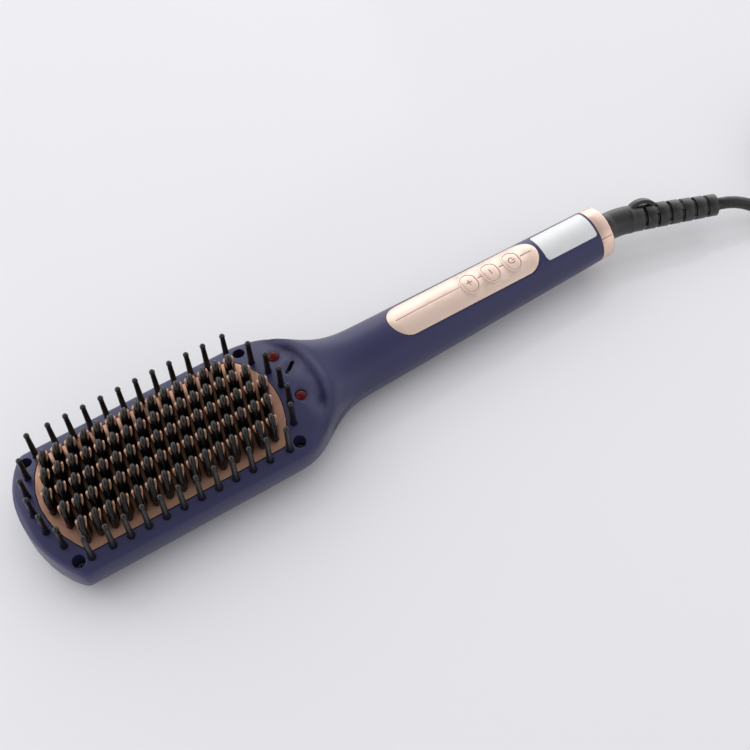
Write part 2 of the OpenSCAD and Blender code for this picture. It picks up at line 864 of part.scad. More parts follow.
module lamp_lenses() color("firebrick") {
    at_lamps_each() {
        z = lamp_face_z;
        translate([0, 0, z - 3.2]) cylinder(r = lamp_r, h = 3.2);
        translate([0, 0, z])
            intersection() {
                translate([0, 0, 0.9 - dome_r]) sphere(r = dome_r);
                translate([0, 0, -0.1]) cylinder(r = lamp_r, h = 3);
            }
    }
}

dome_r = (lamp_r * lamp_r + 0.9 * 0.9) / (2 * 0.9);
lamp_face_z = crown(lamp_a_y) + 0.2;
module at_lamps_each() {
    at_lamps() children();
}

module lamp_leds() color("mistyrose") {
    at_lamps() translate([0, 0, lamp_face_z - 6.4]) {
        cylinder(r = 1.5, h = 1.4);
        translate([0, 0, 1.4]) intersection() {
            sphere(r = 1.5);
            cylinder(r = 1.5, h = 2);
        }
    }
}

lamp_board_z = lamp_face_z - 6.4 - board_t - 0.05;
module lamp_board() color("darkgreen") {
    y_mid = (lamp_a_y + lamp_b_y) / 2;
    difference() {
        translate([head_x + lamp_x - 2.1, y_mid - 17, lamp_board_z]) cube([7.1, 34, board_t]);
        translate([head_x + ion_x, ion_y, lamp_board_z - 1])
            rotate(ion_angle) linear_extrude(height = 4) stadium(ion_len + 3, ion_w + 3.4);
    }
}

// ---- control panel and buttons ----

module control_panel() color(rose) {
    x0 = panel_x - panel_len / 2 - 2;
    x1 = panel_x + panel_len / 2 + 2;
    difference() {
        union() {
            intersection() {
                translate([panel_x, 0, board_z]) linear_extrude(height = 20) panel_outline(0);
                grip_cone(x0, x1, panel_proud);
            }
            for (i = [0:2]) button_bezel(i, x0, x1);
        }
        grip_cone(x0 - 1, x1 + 1, panel_proud - panel_t);
        for (i = [0:2])
            at_button(i) translate([0, 0, board_z - 1]) linear_extrude(height = 20)
                button_outline(button_gap);
        crease_cuts();
    }
}

module button_outline(grow) {
    rotate(90) stadium(button_l + 2 * grow, button_w + 2 * grow);
}

module button_bezel(i, x0, x1) {
    intersection() {
        at_button(i) translate([0, 0, board_z]) linear_extrude(height = 20)
            button_outline(button_gap + button_rim);
        grip_cone(x0, x1, panel_proud + button_proud - 0.05);
    }
}

// Shallow crease along the middle of the panel, broken at the buttons
module crease_cuts() {
    margin = button_w / 2 + button_gap + button_rim + 0.3;
    starts = [panel_x - panel_len / 2 + 3.5, button_x(0) + margin, button_x(1) + margin, button_x(2) + margin];
    stops = [button_x(0) - margin, button_x(1) - margin, button_x(2) - margin, panel_x + panel_len / 2 - 3];
    for (k = [0:3])
        translate([starts[k], -0.25, panel_top(starts[k]) - 0.35])
            cube([stops[k] - starts[k], 0.5, 3]);
}
function panel_top(x) = top_line(x) + panel_proud;

// Button cap with a skirt below the panel that keeps it in
module button_cap(i) {
    x = button_x(i);
    flange_top = panel_top(x) - panel_t - 0.9;
    at_button(i) {
        intersection() {
            translate([0, 0, flange_top - 0.5]) linear_extrude(height = 20) button_outline(0);
            translate([-x, 0, 0]) grip_cone(x - 12, x + 12, panel_proud + button_proud - 0.2);
        }
        translate([0, 0, flange_top - 1]) linear_extrude(height = 1) intersection() {
            button_outline(0.9);
            square([button_w + 1.8, button_l - 0.6], center = true);
        }
        translate([0, 0, board_z + switch_h + button_travel + 0.2])
            cylinder(r = 1.4, h = flange_top - 0.5 - board_z - switch_h - button_travel - 0.2);
    }
}

module plus_button() color(rose) button_cap(0);
module minus_button() color(rose) button_cap(1);
module power_button() color(rose) button_cap(2);

module key_switches() color("darkslategray") {
    for (i = [0:2])
        at_button(i) {
            translate([-3, -3, board_z + 0.02]) cube([6, 6, switch_h - 0.9]);
            translate([0, 0, board_z + switch_h - 0.9]) cylinder(r = 1.6, h = 0.9);
        }
}

control_board_x = head_x + panel_start + panel_len / 2 + 8;
module control_board() color("darkgreen") {
    difference() {
        translate([control_board_x - board_len / 2, -board_w / 2, board_z - board_t])
            cube([board_len, board_w, board_t]);
        for (x = board_post_x())
            translate([x, 0, 0]) cylinder(r = 1.5, h = 60);
    }
}

module board_screws() color([0.5, 0.5, 0.52]) {
    for (x = board_post_x())
        translate([x, 0, 0]) {
            translate([0, 0, board_z + 0.02]) cylinder(r = 2, h = 1.4);
            translate([0, 0, board_z - 8]) cylinder(r = 0.95, h = 8.1);
        }
}

// Capacitor, triac, coil and resistor below the board
module board_parts() color("saddlebrown") {
    z = board_z - board_t - 0.02;
    x = control_board_x;
    translate([x - 30, -6, z - 9]) cube([14, 11, 9]);
    translate([x - 8, 0, z - 7]) rotate([0, 90, 0]) cylinder(r = 3.4, h = 14);
    translate([x - 8, -0.5, z - 4]) cube([14, 1, 4]);
    translate([x + 14, -5, z - 4.6]) cube([10, 10, 4.6]);
    translate([x + 32, 0, z - 8]) cylinder(r = 4, h = 8);
}

// Two insulated wires from the control board to the ceramic heater
module heater_leads() color("white") {
    for (s = [-1, 1])
        tube([
            [head_x + heater_len / 2 - 3, s * 6, mica_z - 1.1],
            [head_x + heater_len / 2 + 12, s * 6, mica_z - 1.1],
            [head_x + heater_len / 2 + 22, s * 10, mica_z - 1.6],
            [generator_x - 16, s * 10.5, 16],
            [generator_x + 16, s * 10.2, 18.5],
            [control_board_x - board_len / 2 + 4, s * 6.5, board_z - board_t - 1.1]
        ], 0.9, 10);
}

// Round bar through a list of points, with a ball at each bend
module label_film() color("gainsboro") {
    x0 = panel_x + panel_len / 2 + 2;
    x1 = x0 + label_len;
    difference() {
        intersection() {
            grip_cone(x0, x1, label_t + 0.03);
            label_wedge(x0, x1);
        }
        grip_cone(x0 - 1, x1 + 1, 0.03);
    }
}

module label_wedge(x0, x1) {
    r = grip_radius(x0) + 3;
    half = r * sin(label_angle / 2);
    translate([(x0 + x1) / 2, 0, axis_z(x0)])
        linear_extrude(height = 30)
            union() {
                square([x1 - x0 + 1, 2 * half - 3 - 6], center = true);
                square([x1 - x0 - 3, 2 * half - 6], center = true);
                for (sx = [-1, 1])
                    for (sy = [-1, 1])
                        translate([sx * ((x1 - x0) / 2 - 1.5), sy * (half - 4.5)]) circle(r = 1.5);
            }
}

// ---- tail ----

tail_z = axis_z(end_x);
module along_tail(x) {
    translate([x, 0, tail_z]) rotate([0, 90, 0]) children();
}

module tail_collar() color(rose) {
    bevel = 0.6;
    r = tail_r + 0.25;
    difference() {
        along_tail(shell_end_x + 0.1)
            rotate_extrude($fn = 120)
                polygon([
                    [tail_r - collar_wall, 0],
                    [r, 0],
                    [r, collar_len - 0.1 - bevel],
                    [r - bevel, collar_len - 0.1],
                    [tail_r - collar_wall, collar_len - 0.1]
                ]);
        translate([end_x - collar_len / 2, 0, tail_z])
            rotate([51, 0, 0])
                translate([0, 0, r]) cube([collar_len + 2, slit_w, 0.8], center = true);
    }
}

bush_r = tail_r - collar_wall - 0.03;
bush_len = collar_len + 8;
// Fixed bush that carries the swivel and holds the collar
module tail_bush() color(black) {
    along_tail(end_x - bush_len)
        rotate_extrude($fn = 120)
            polygon([
                [barrel_r + swivel_gap, 1],
                [barrel_r + swivel_gap, bush_len - 0.8],
                [bush_r - 0.6, bush_len - 0.8],
                [bush_r, bush_len - 1.4],
                [bush_r, bush_len - collar_len],
                [tail_r - wall - 0.25, bush_len - collar_len - 0.05],
                [tail_r - wall - 0.25, 1]
            ]);
}

// Barrel that turns in the bush, moulded round the cord
module swivel_barrel() color(black) {
    along_tail(end_x - bush_len - 2)
        rotate_extrude($fn = 120)
            polygon([
                [0, 0],
                [barrel_r, 0],
                [barrel_r, 2.08],
                [clip_r, 2.08],
                [clip_r, 2.72],
                [barrel_r, 2.72],
                [barrel_r, bush_len + 2.4],
                [0, bush_len + 2.4]
            ]);
}

clip_r = barrel_r - 0.7;
// Spring clip in the barrel's groove that keeps it from pulling out
module barrel_clip() color("silver") {
    along_tail(end_x - bush_len + 0.1)
        difference() {
            cylinder(r = tail_r - wall - 1, h = 0.6);
            translate([0, 0, -1]) cylinder(r = clip_r + 0.02, h = 3);
            translate([0, -1.5, -1]) cube([20, 3, 3]);
        }
}

boot_x = end_x + 0.4;
boot_run = 5;
// Frame of the boot's bend: children lie along +X after the bend
module after_bend() {
    translate([boot_x + boot_run, 0, tail_z])
        rotate([boot_dip, 0, 0])
            translate([boot_bend_r * sin(boot_bend), -boot_bend_r * (1 - cos(boot_bend)), 0])
                rotate([0, 0, -boot_bend]) children();
}

rib_step = rib_len / rib_count;
rib_width = rib_step * 0.72;
module cable_boot() color(black) {
    along_tail(boot_x) cylinder(r = boot_r, h = boot_run + eps);
    translate([boot_x + boot_run, 0, tail_z])
        rotate([boot_dip, 0, 0])
            translate([0, -boot_bend_r, 0])
                rotate([0, 0, 90 - boot_bend])
                    rotate_extrude(angle = boot_bend, $fn = 120)
                        translate([boot_bend_r, 0]) circle(r = boot_r - 0.03);
    after_bend() {
        rotate([0, 90, 0]) {
            translate([0, 0, -eps]) cylinder(r1 = boot_r, r2 = rib_r_first, h = 3);
            cylinder(r = core_r, h = rib_len);
            for (k = [0:rib_count - 1]) boot_ring(k);
        }
        for (k = [0:rib_count - 2])
            translate([3 + rib_step * k, 0, 0])
                rotate([k % 2 == 0 ? 0 : 90, 0, 0])
                    cube([rib_step, 3.4, 2 * ring_r(k + 1) - 0.6], center = true);
        hanging_loop();
    }
}

function ring_r(k) = mix(rib_r_first, rib_r_last, k / (rib_count - 1));
module boot_ring(k) {
    translate([0, 0, rib_len - rib_step * (rib_count - k) + rib_step - rib_width])
        cylinder(r = ring_r(k), h = rib_width);
}

// Loop on the boot's upper side, to hang the brush by
module hanging_loop() {
    arc_r = 9.5;
    sink = 0.3;
    translate([7.5, 0, 0])
        rotate([90 - loop_lean, 0, 0])
            linear_extrude(height = loop_w, center = true)
                difference() {
                    translate([0, -sink]) circle(r = arc_r);
                    translate([0, -sink]) circle(r = arc_r - loop_t);
                    translate([-20, -27]) square([40, 30]);
                }
}

// ---- cord ----

// Points of the cord from the boot to the start of its turn
lead_route = [
    [209.2, -15.2, 16.3], [212.3, -16.2, 16.3], [215.8, -17.5, 16.1], [219.2, -18.9, 15.4],
    [222.5, -20.5, 14.3], [225.6, -22.3, 12.9]
];
// Straight run down to the table, which ends on the coil's outer turn
run_start = [228.5, -24.3];
run_heading = -36;
run_len = 54;
run_z = 11.3;
coil_lift = 0.8;
rest_z = cord_d / 2 + coil_lift;

function heading(a) = [cos(a), sin(a)];
function run_point(t) = let (q = run_start + run_len * t * heading(run_heading))
    [q[0], q[1], mix(rest_z, run_z, pow(1 - min(1, t / 0.89), 2))];

coil_gap = cord_d + 0.5;
coil_turns = 8.183;
coil_layers = 4;
coil_inner_r = 25.7;
per_layer = coil_turns / coil_layers;
coil_outer_r = coil_inner_r + coil_gap * per_layer;
coil_start_angle = run_heading - 90;
coil_x = run_point(1)[0] - coil_outer_r * cos(coil_start_angle);
coil_y = run_point(1)[1] - coil_outer_r * sin(coil_start_angle);

function coil_z(u) = rest_z
    + coil_gap * (smooth((u - per_layer) / 0.5 + 0.5) + smooth((u - 2 * per_layer) / 0.5 + 0.5)
        + smooth((u - 3 * per_layer) / 0.5 + 0.5));
function coil_r(u) = let (k = floor(min(u, coil_turns - 0.0001) / per_layer), t = u - k * per_layer)
    k % 2 == 0 ? coil_outer_r - coil_gap * t : coil_inner_r + coil_gap * t;
function coil_point(u) = let (a = coil_start_angle + 360 * u)
    [coil_x + coil_r(u) * cos(a), coil_y + coil_r(u) * sin(a), coil_z(u)];

function unit(v) = v / norm(v);

tail_end = coil_point(coil_turns);
tail_heading = coil_start_angle + 360 * coil_turns + 90;
tail_straight = 34;
tail_bend_r = 27;
tail_bend = 90 - (tail_heading % 360);
tail_run = tail_straight + tail_bend_r * tail_bend * PI / 180;
plug_z = 7;
function tail_flat(s) =
    let (bend = max(0, s - tail_straight) / tail_bend_r * 180 / PI)
    [tail_end[0], tail_end[1]] + min(s, tail_straight) * heading(tail_heading)
        + tail_bend_r * (heading(tail_heading + bend - 90) - heading(tail_heading - 90));
function tail_point(t) = concat(tail_flat(tail_run * t), mix(tail_end[2], plug_z, smooth(t * 1.18)));

coil_steps = round(24 * coil_turns);
// Share of the run that belongs to the coil's piece of the cord
join = cord_d / run_len;
coil_path = concat(
    [run_point(1 - join)],
    [for (i = [0:coil_steps]) coil_point(coil_turns * i / coil_steps)],
    [for (i = [1:12]) tail_point(i / 12)]
);
lead_path = concat(lead_route, [for (i = [0:13]) run_point(i / 14 * (1 - join - 0.005))],
    [run_point(1 - join - 0.005)]);

// Tube through points that never run straight up
module tube(path, radius, sides) {
    m = len(path);
    rings = [for (i = [0:m - 1])
        let (
            t = unit(path[min(i + 1, m - 1)] - path[max(i - 1, 0)]),
            s = unit(cross(t, [0, 0, 1])),
            up = cross(s, t)
        )
        [for (k = [0:sides - 1]) let (a = 360 * (k + 0.5) / sides)
            path[i] + radius * (cos(a) * s - sin(a) * up)]
    ];
    loft(rings);
}

module cord_lead() color(black) tube(lead_path, cord_d / 2, 8);
module cord_coil() color(black) tube(coil_path, cord_d / 2, 6);

// Least distance between the coil's turns, skin to skin, printed for the maker
function turn_gap() = min([for (i = [0:4:coil_steps]) for (j = [i + 12:2:coil_steps])
    norm(coil_point(coil_turns * i / coil_steps) - coil_point(coil_turns * j / coil_steps))]) - cord_d;
echo(least_gap_between_turns = turn_gap());
echo(plug = [plug_x, plug_y, plug_z, plug_len, pin_span], tail_axis = tail_z,
    boot_end = [boot_x, boot_run], run_end = run_point(1), coil = [coil_x, coil_y]);

// Strap round the coil's bundle
module coil_tie() color([0.12, 0.12, 0.12]) {
    strap = 0.5;
    clear = 0.3;
    in_r = coil_inner_r - cord_d / 2 - clear;
    out_r = coil_outer_r + cord_d / 2 + clear;
    low = coil_lift - 0.1;
    high = coil_lift + cord_d + 3 * coil_gap + clear;
    translate([coil_x, coil_y, 0])
        rotate(80)
            translate([0, 5, 0])
                rotate([90, 0, 0])
                    linear_extrude(height = 10)
                        difference() {
                            translate([in_r - strap, low - strap]) square([out_r - in_r + 2 * strap, high - low + 2 * strap]);
                            translate([in_r, low]) square([out_r - in_r, high - low]);
                        }
}

plug_w = 35;
plug_t = 13.6;
plug_len = 34;
plug_y = tail_point(1)[1] + 0.3;
plug_x = tail_point(1)[0];

// Flat two-pin plug that lies beside the coil
module plug_body() color(black) {
    translate([plug_x, plug_y + 0.02, plug_z])
        intersection() {
            translate([0, 0, -plug_t / 2])
                linear_extrude(height = plug_t)
                    union() {
                        translate([-plug_w / 2 + 4, plug_len - 11]) square([plug_w - 8, 11]);
                        for (s = [-1, 1])
                            translate([s * (plug_w / 2 - 5), plug_len - 8]) circle(r = 5);
                        translate([-plug_w / 2, plug_len - 8]) square([plug_w, 8]);
                        polygon([
                            [-5.5, 0], [5.5, 0], [6.5, 8], [plug_w / 2 - 0.4, plug_len - 10],
                            [-plug_w / 2 + 0.4, plug_len - 10], [-6.5, 8]
                        ]);
                    }
            rotate([90, 0, 0])
                translate([0, 0, -plug_len])
                    linear_extrude(height = plug_len)
                        stadium(plug_w, plug_t);
        }
}

module plug_pins() color("silver") {
    for (s = [-1, 1])
        translate([plug_x + s * pin_span / 2, plug_y + plug_len + 0.04, plug_z])
            rotate([-90, 0, 0]) {
                cylinder(r = pin_r, h = pin_len - 1);
                translate([0, 0, pin_len - 1]) cylinder(r1 = pin_r, r2 = pin_r - 0.7, h = 1);
            }
}

front_shell();
rear_shell();
heating_plate();
tooth_comb();
bristle_frame();
head_screws();
heat_spreader();
ceramic_heater();
mica_sheet();
heater_clamp();
clamp_screws();
thermal_fuse();
temperature_sensor();
ion_emitter();
ion_generator();
lamp_lenses();
lamp_leds();
lamp_board();
control_panel();
plus_button();
minus_button();
power_button();
key_switches();
control_board();
board_screws();
board_parts();
heater_leads();
label_film();
tail_collar();
tail_bush();
swivel_barrel();
barrel_clip();
cable_boot();
cord_lead();
cord_coil();
coil_tie();
plug_body();
plug_pins();
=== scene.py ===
import math

import bmesh
import bpy
from mathutils import Matrix, Vector
from mathutils.bvhtree import BVHTree


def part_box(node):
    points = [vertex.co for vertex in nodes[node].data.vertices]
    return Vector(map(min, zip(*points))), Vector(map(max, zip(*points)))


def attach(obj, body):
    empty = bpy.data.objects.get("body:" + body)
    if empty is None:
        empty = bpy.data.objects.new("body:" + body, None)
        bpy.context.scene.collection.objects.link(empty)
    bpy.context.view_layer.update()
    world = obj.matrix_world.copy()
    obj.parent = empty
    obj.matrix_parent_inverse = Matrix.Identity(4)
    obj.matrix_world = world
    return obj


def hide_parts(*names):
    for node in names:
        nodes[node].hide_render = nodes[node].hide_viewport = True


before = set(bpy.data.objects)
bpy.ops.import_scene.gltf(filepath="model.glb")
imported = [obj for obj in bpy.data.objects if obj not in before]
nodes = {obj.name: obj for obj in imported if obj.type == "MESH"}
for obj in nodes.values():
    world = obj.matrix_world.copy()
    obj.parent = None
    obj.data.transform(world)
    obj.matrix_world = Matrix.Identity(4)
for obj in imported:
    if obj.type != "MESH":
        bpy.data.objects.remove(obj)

for starter in ("Cube", "Light", "Camera"):  # Blender's own starting objects
    if starter in bpy.data.objects:
        bpy.data.objects.remove(bpy.data.objects[starter])
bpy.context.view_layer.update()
mm = 0.001
headX = -84.5  # mm, the middle of the head
print("frame loaded:", len(nodes), "nodes")


photoView = {
    "place": (-142.76, -309.01, 512.25),  # mm, where the picture is taken from
    "right": (0.84981, -0.52525, -0.04404),
    "down": (-0.45538, -0.68953, -0.56319),
    "forward": (0.26545, 0.49866, -0.82515),
    "focalPixels": 1322.83,
    "imagePixels": 750,
    "sensor": 36.0,
}


def makeCamera(view):
    data = bpy.data.cameras.new("photoCamera")
    data.sensor_width = view["sensor"]
    data.lens = view["sensor"] * view["focalPixels"] / view["imagePixels"]
    data.clip_start = 0.01
    data.clip_end = 20
    camera = bpy.data.objects.new("photoCamera", data)
    bpy.context.scene.collection.objects.link(camera)
    right, up = Vector(view["right"]), -Vector(view["down"])
    back = -Vector(view["forward"])
    turn = Matrix((right, up, back)).transposed().to_4x4()
    camera.matrix_world = Matrix.Translation(Vector(view["place"]) * mm) @ turn
    bpy.context.scene.camera = camera


makeCamera(photoView)
print("camera placed")


cordShape = {  # mm and degrees
    "diameter": 6.0,
    # leaves the boot, then sinks to the table; same points as in the CAD source
    "lead": [
        (209.2, -15.2, 16.3), (212.3, -16.2, 16.3), (215.8, -17.5, 16.1),
        (219.2, -18.9, 15.4), (222.5, -20.5, 14.3), (225.6, -22.3, 12.9),
    ],
    "runStart": (228.5, -24.3),
    "runHeading": -36.0,
    "runLength": 54.0,
    "runHeight": 11.3,
    "lift": 0.8,
    "coilGap": 6.5,
    "coilTurns": 8.183,
    "coilLayers": 4,
    "coilInnerRadius": 25.7,
    "tailStraight": 34.0,
    "tailBendRadius": 27.0,
    "plugHeight": 7.0,
    "runSink": 0.89,  # share of the run over which it sinks to the table
    "layerClimb": 0.5,  # turns in which it climbs to the next layer
    "tailSink": 1.18,  # how early the tail is down at the plug's height
    "runSteps": 14,
    "stepsPerTurn": 24,
    "tailSteps": 12,
}


def smoothStep(t):
    t = min(1, max(0, t))
    return t * t * (3 - 2 * t)


def mix(a, b, t):
    return a + (b - a) * t


def heading(degrees):
    a = math.radians(degrees)
    return Vector((math.cos(a), math.sin(a)))


def runPoint(c, t):
    q = Vector(c["runStart"]) + c["runLength"] * t * heading(c["runHeading"])
    rest = c["diameter"] / 2 + c["lift"]
    return Vector((q.x, q.y, mix(rest, c["runHeight"], (1 - min(1, t / c["runSink"])) ** 2)))


def coilPoint(c, u):
    perLayer = c["coilTurns"] / c["coilLayers"]
    outer = c["coilInnerRadius"] + c["coilGap"] * perLayer
    layer = math.floor(min(u, c["coilTurns"] - 0.0001) / perLayer)
    t = u - layer * perLayer
    inward = layer % 2 == 0
    radius = outer - c["coilGap"] * t if inward else c["coilInnerRadius"] + c["coilGap"] * t
    startAngle = c["runHeading"] - 90
    centre = runPoint(c, 1).to_2d() - outer * heading(startAngle)
    place = centre + radius * heading(startAngle + 360 * u)
    steps = sum(
        smoothStep((u - k * perLayer) / c["layerClimb"] + 0.5) for k in range(1, c["coilLayers"])
    )
    return Vector((*place, c["diameter"] / 2 + c["lift"] + c["coilGap"] * steps))


def tailPoint(c, t):
    end = coilPoint(c, c["coilTurns"])
    away = c["runHeading"] + 360 * c["coilTurns"]
    radius = c["tailBendRadius"]
    run = t * (c["tailStraight"] + radius * math.radians(90 - away % 360))
    bend = math.degrees(max(0, run - c["tailStraight"]) / radius)
    place = end.to_2d() + min(run, c["tailStraight"]) * heading(away)
    place += radius * (heading(away + bend - 90) - heading(away - 90))
    return Vector((*place, mix(end.z, c["plugHeight"], smoothStep(t * c["tailSink"]))))


def cordRoute(c):
    coilSteps = round(c["stepsPerTurn"] * c["coilTurns"])
    points = [Vector(p) for p in c["lead"]]
    points += [runPoint(c, i / c["runSteps"]) for i in range(c["runSteps"])]
    points += [coilPoint(c, c["coilTurns"] * i / coilSteps) for i in range(coilSteps + 1)]
    points += [tailPoint(c, i / c["tailSteps"]) for i in range(1, c["tailSteps"] + 1)]
    return [p * mm for p in points]


def meshPiece(name, bm):
    bmesh.ops.recalc_face_normals(bm, faces=bm.faces)
    mesh = bpy.data.meshes.new(name)
    bm.to_mesh(mesh)
    bm.free()
    piece = bpy.data.objects.new(name, mesh)
    bpy.context.scene.collection.objects.link(piece)
    return piece


# a closed round tube along points that never run straight up
def sweepTube(name, route, radius, sides=20):
    bm = bmesh.new()
    rings = []
    for i, place in enumerate(route):
        ahead = route[min(i + 1, len(route) - 1)] - route[max(i - 1, 0)]
        side = ahead.cross(Vector((0, 0, 1))).normalized()
        up = side.cross(ahead).normalized()
        turns = [2 * math.pi * k / sides for k in range(sides)]
        rings.append([
            bm.verts.new(place + radius * (math.cos(a) * side + math.sin(a) * up)) for a in turns
        ])
    for a, b in zip(rings, rings[1:]):
        for k in range(sides):
            bm.faces.new((a[k], a[(k + 1) % sides], b[(k + 1) % sides], b[k])).smooth = True
    bm.faces.new(rings[0][::-1])
    bm.faces.new(rings[-1])
    return meshPiece(name, bm)


def makeCord(c):
    route = cordRoute(c)
    cord = sweepTube("mains_cord", route, c["diameter"] / 2 * mm)
    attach(cord, "cord")
    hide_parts("cord_lead", "cord_coil")
    return cord


mainsCord = makeCord(cordShape)


# sRGB hex to linear
def colour(text):
    parts = [int(text[i:i + 2], 16) / 255 for i in (1, 3, 5)]
    return [p / 12.92 if p <= 0.04045 else ((p + 0.055) / 1.055) ** 2.4 for p in parts] + [1]


# one node with its settings, by input name or number, and its links
def addNode(tree, kind, settings=None, links=None):
    node = tree.nodes.new(kind)
    for key, value in (settings or {}).items():
        if isinstance(key, int) or key in node.inputs:
            node.inputs[key].default_value = value
        else:
            setattr(node, key, value)
    for key, socket in (links or {}).items():
        tree.links.new(socket, node.inputs[key])
    return node


def perMm(size):
    return 1000 / size  # noise scale for features of a size in millimetres


headMiddle = (headX * mm, 0, 28 * mm)  # about as high as the head's face
ringFade = 3  # mm over which the soft ring ends


def makeFinish(name, look):
    material = bpy.data.materials.new(name)
    material.use_nodes = True
    tree = material.node_tree
    shader = tree.nodes["Principled BSDF"]
    place = addNode(tree, "ShaderNodeTexCoord").outputs["Object"]
    pattern = place
    if "stretch" in look:  # draws the pattern out along one axis
        pattern = addNode(
            tree, "ShaderNodeMapping", {"Scale": look["stretch"]}, {"Vector": place}
        ).outputs["Vector"]
    cloud = addNode(
        tree, "ShaderNodeTexNoise",
        {"Scale": perMm(look["cloudMm"]), "Detail": 3, "Roughness": 0.6}, {"Vector": pattern},
    ).outputs["Fac"]
    grain = addNode(
        tree, "ShaderNodeTexNoise",
        {"Scale": perMm(look["grainMm"]), "Detail": 2, "Roughness": 0.55}, {"Vector": pattern},
    ).outputs["Fac"]
    share = addNode(
        tree, "ShaderNodeMapRange", {"From Min": 0.3, "From Max": 0.7}, {"Value": cloud}
    ).outputs["Result"]
    tint = addNode(
        tree, "ShaderNodeMix",
        {"data_type": "RGBA", 6: colour(look["colour"]), 7: colour(look["shade"])}, {0: share},
    ).outputs[2]
    # painted shade: where ambient occlusion finds the surface closed in, the base colour is
    # darkened, as shade in wells, slots, gaps and between teeth
    if "paintedCreviceShade" in look:  # reach in mm, and how dark it gets in there
        reach, least = look["paintedCreviceShade"]
        openness = addNode(
            tree, "ShaderNodeAmbientOcclusion", {"samples": 6, "Distance": reach * mm}
        ).outputs["AO"]
        shade = addNode(
            tree, "ShaderNodeMapRange", {"From Min": 0.15, "From Max": 0.8, "To Min": least},
            {"Value": openness},
        ).outputs["Result"]
        tint = addNode(
            tree, "ShaderNodeVectorMath", {"operation": "SCALE"}, {"Vector": tint, "Scale": shade}
        ).outputs["Vector"]
    tree.links.new(tint, shader.inputs["Base Color"])
    mixed = addNode(
        tree, "ShaderNodeMath", {"operation": "ADD"}, {0: cloud, 1: grain}
    ).outputs[0]
    rough = addNode(
        tree, "ShaderNodeMapRange",
        {"From Min": 0.6, "From Max": 1.4,
         "To Min": look["roughness"] - look["spread"], "To Max": look["roughness"] + look["spread"]},
        {"Value": mixed},
    ).outputs["Result"]
    tree.links.new(rough, shader.inputs["Roughness"])
    bump = addNode(
        tree, "ShaderNodeBump", {"Strength": 1.0, "Distance": look["grainDepth"] * mm},
        {"Height": grain},
    )
    if "edge" in look:
        edge = addNode(tree, "ShaderNodeBevel", {"samples": 6, "Radius": look["edge"] * mm})
        if "softRing" in look:  # where a soft crease runs round the head: reach, width, radius
            middle, width, radius = (value * mm for value in look["softRing"])
            away = addNode(
                tree, "ShaderNodeVectorMath", {"operation": "DISTANCE", 1: headMiddle}, {0: place}
            ).outputs["Value"]
            past = addNode(
                tree, "ShaderNodeMath", {"operation": "SUBTRACT", 1: middle}, {0: away}
            ).outputs[0]
            off = addNode(tree, "ShaderNodeMath", {"operation": "ABSOLUTE"}, {0: past}).outputs[0]
            soft = addNode(
                tree, "ShaderNodeMapRange",
                {"From Min": width, "From Max": width + ringFade * mm,
                 "To Min": radius, "To Max": look["edge"] * mm},
                {"Value": off},
            ).outputs["Result"]
            tree.links.new(soft, edge.inputs["Radius"])
        tree.links.new(edge.outputs["Normal"], bump.inputs["Normal"])
    tree.links.new(bump.outputs["Normal"], shader.inputs["Normal"])
    for key, value in look.get("shader", {}).items():
        shader.inputs[key].default_value = value
    return material


# where the real grain is finer, it is drawn at 0.3 to 1.2 mm, so that it shows

# soft-touch lacquer on moulded ABS: deep navy, a broad hazy highlight, purple at the edges; painted
# shade darkens its screw wells and bristle holes
softTouchNavy = {
    "colour": "#21214a", "shade": "#252550", "cloudMm": 40, "grainMm": 0.5, "grainDepth": 0.008,
    "roughness": 0.36, "spread": 0.04, "edge": 0.8, "softRing": (76, 10, 7),
    "paintedCreviceShade": (3, 0.1),
    "shader": {"IOR": 1.5, "Sheen Weight": 0.04, "Sheen Roughness": 0.5,
               "Sheen Tint": colour("#a58fa6")},
}
# anodised aluminium, fine satin: rose tan, with painted shade that darkens it down between the teeth
anodisedRose = {
    "colour": "#bd957e", "shade": "#b28972", "cloudMm": 12, "grainMm": 0.35, "grainDepth": 0.004,
    "roughness": 0.34, "spread": 0.05, "edge": 0.2, "paintedCreviceShade": (8, 0.05),
    "shader": {"Metallic": 1.0},
}
# moulded nylon with glass filling: near black, satin
mouldedNylon = {
    "colour": "#0c0a0a", "shade": "#100d0d", "cloudMm": 9, "grainMm": 0.4, "grainDepth": 0.006,
    "roughness": 0.27, "spread": 0.05,
    "shader": {"IOR": 1.42},
}
# the round bristles' moulded nylon: a little greyer than the teeth
bristleNylon = {
    "colour": "#0f0d0d", "shade": "#141212", "cloudMm": 5, "grainMm": 0.4, "grainDepth": 0.005,
    "roughness": 0.3, "spread": 0.05,
    "shader": {"IOR": 1.45},
}
# pearl rose lacquer over ABS: light, even, with a clear glossy coat; painted shade darkens its
# crease and the gaps round the buttons
pearlRose = {
    "colour": "#e8cfc0", "shade": "#e4c8b7", "cloudMm": 18, "grainMm": 0.8, "grainDepth": 0.0015,
    "roughness": 0.3, "spread": 0.02, "paintedCreviceShade": (1.4, 0.12),
    "shader": {"Metallic": 0.55, "Coat Weight": 0.4, "Coat Roughness": 0.12},
}
# vacuum plated ABS: the same rose, brighter and more mirror-like; painted shade darkens its slit
platedRose = {
    "colour": "#ecd0c0", "shade": "#e6c6b4", "cloudMm": 18, "grainMm": 0.8, "grainDepth": 0.0015,
    "roughness": 0.16, "spread": 0.03, "edge": 0.2, "paintedCreviceShade": (0.7, 0.08),
    "shader": {"Metallic": 0.6, "Coat Weight": 0.4, "Coat Roughness": 0.06},
}
# blackened steel screws: dull dark grey
blackenedSteel = {
    "colour": "#6a6a6e", "shade": "#828286", "cloudMm": 1.2, "grainMm": 0.3, "grainDepth": 0.006,
    "roughness": 0.4, "spread": 0.1, "edge": 0.1,
    "shader": {"Metallic": 1.0},
}
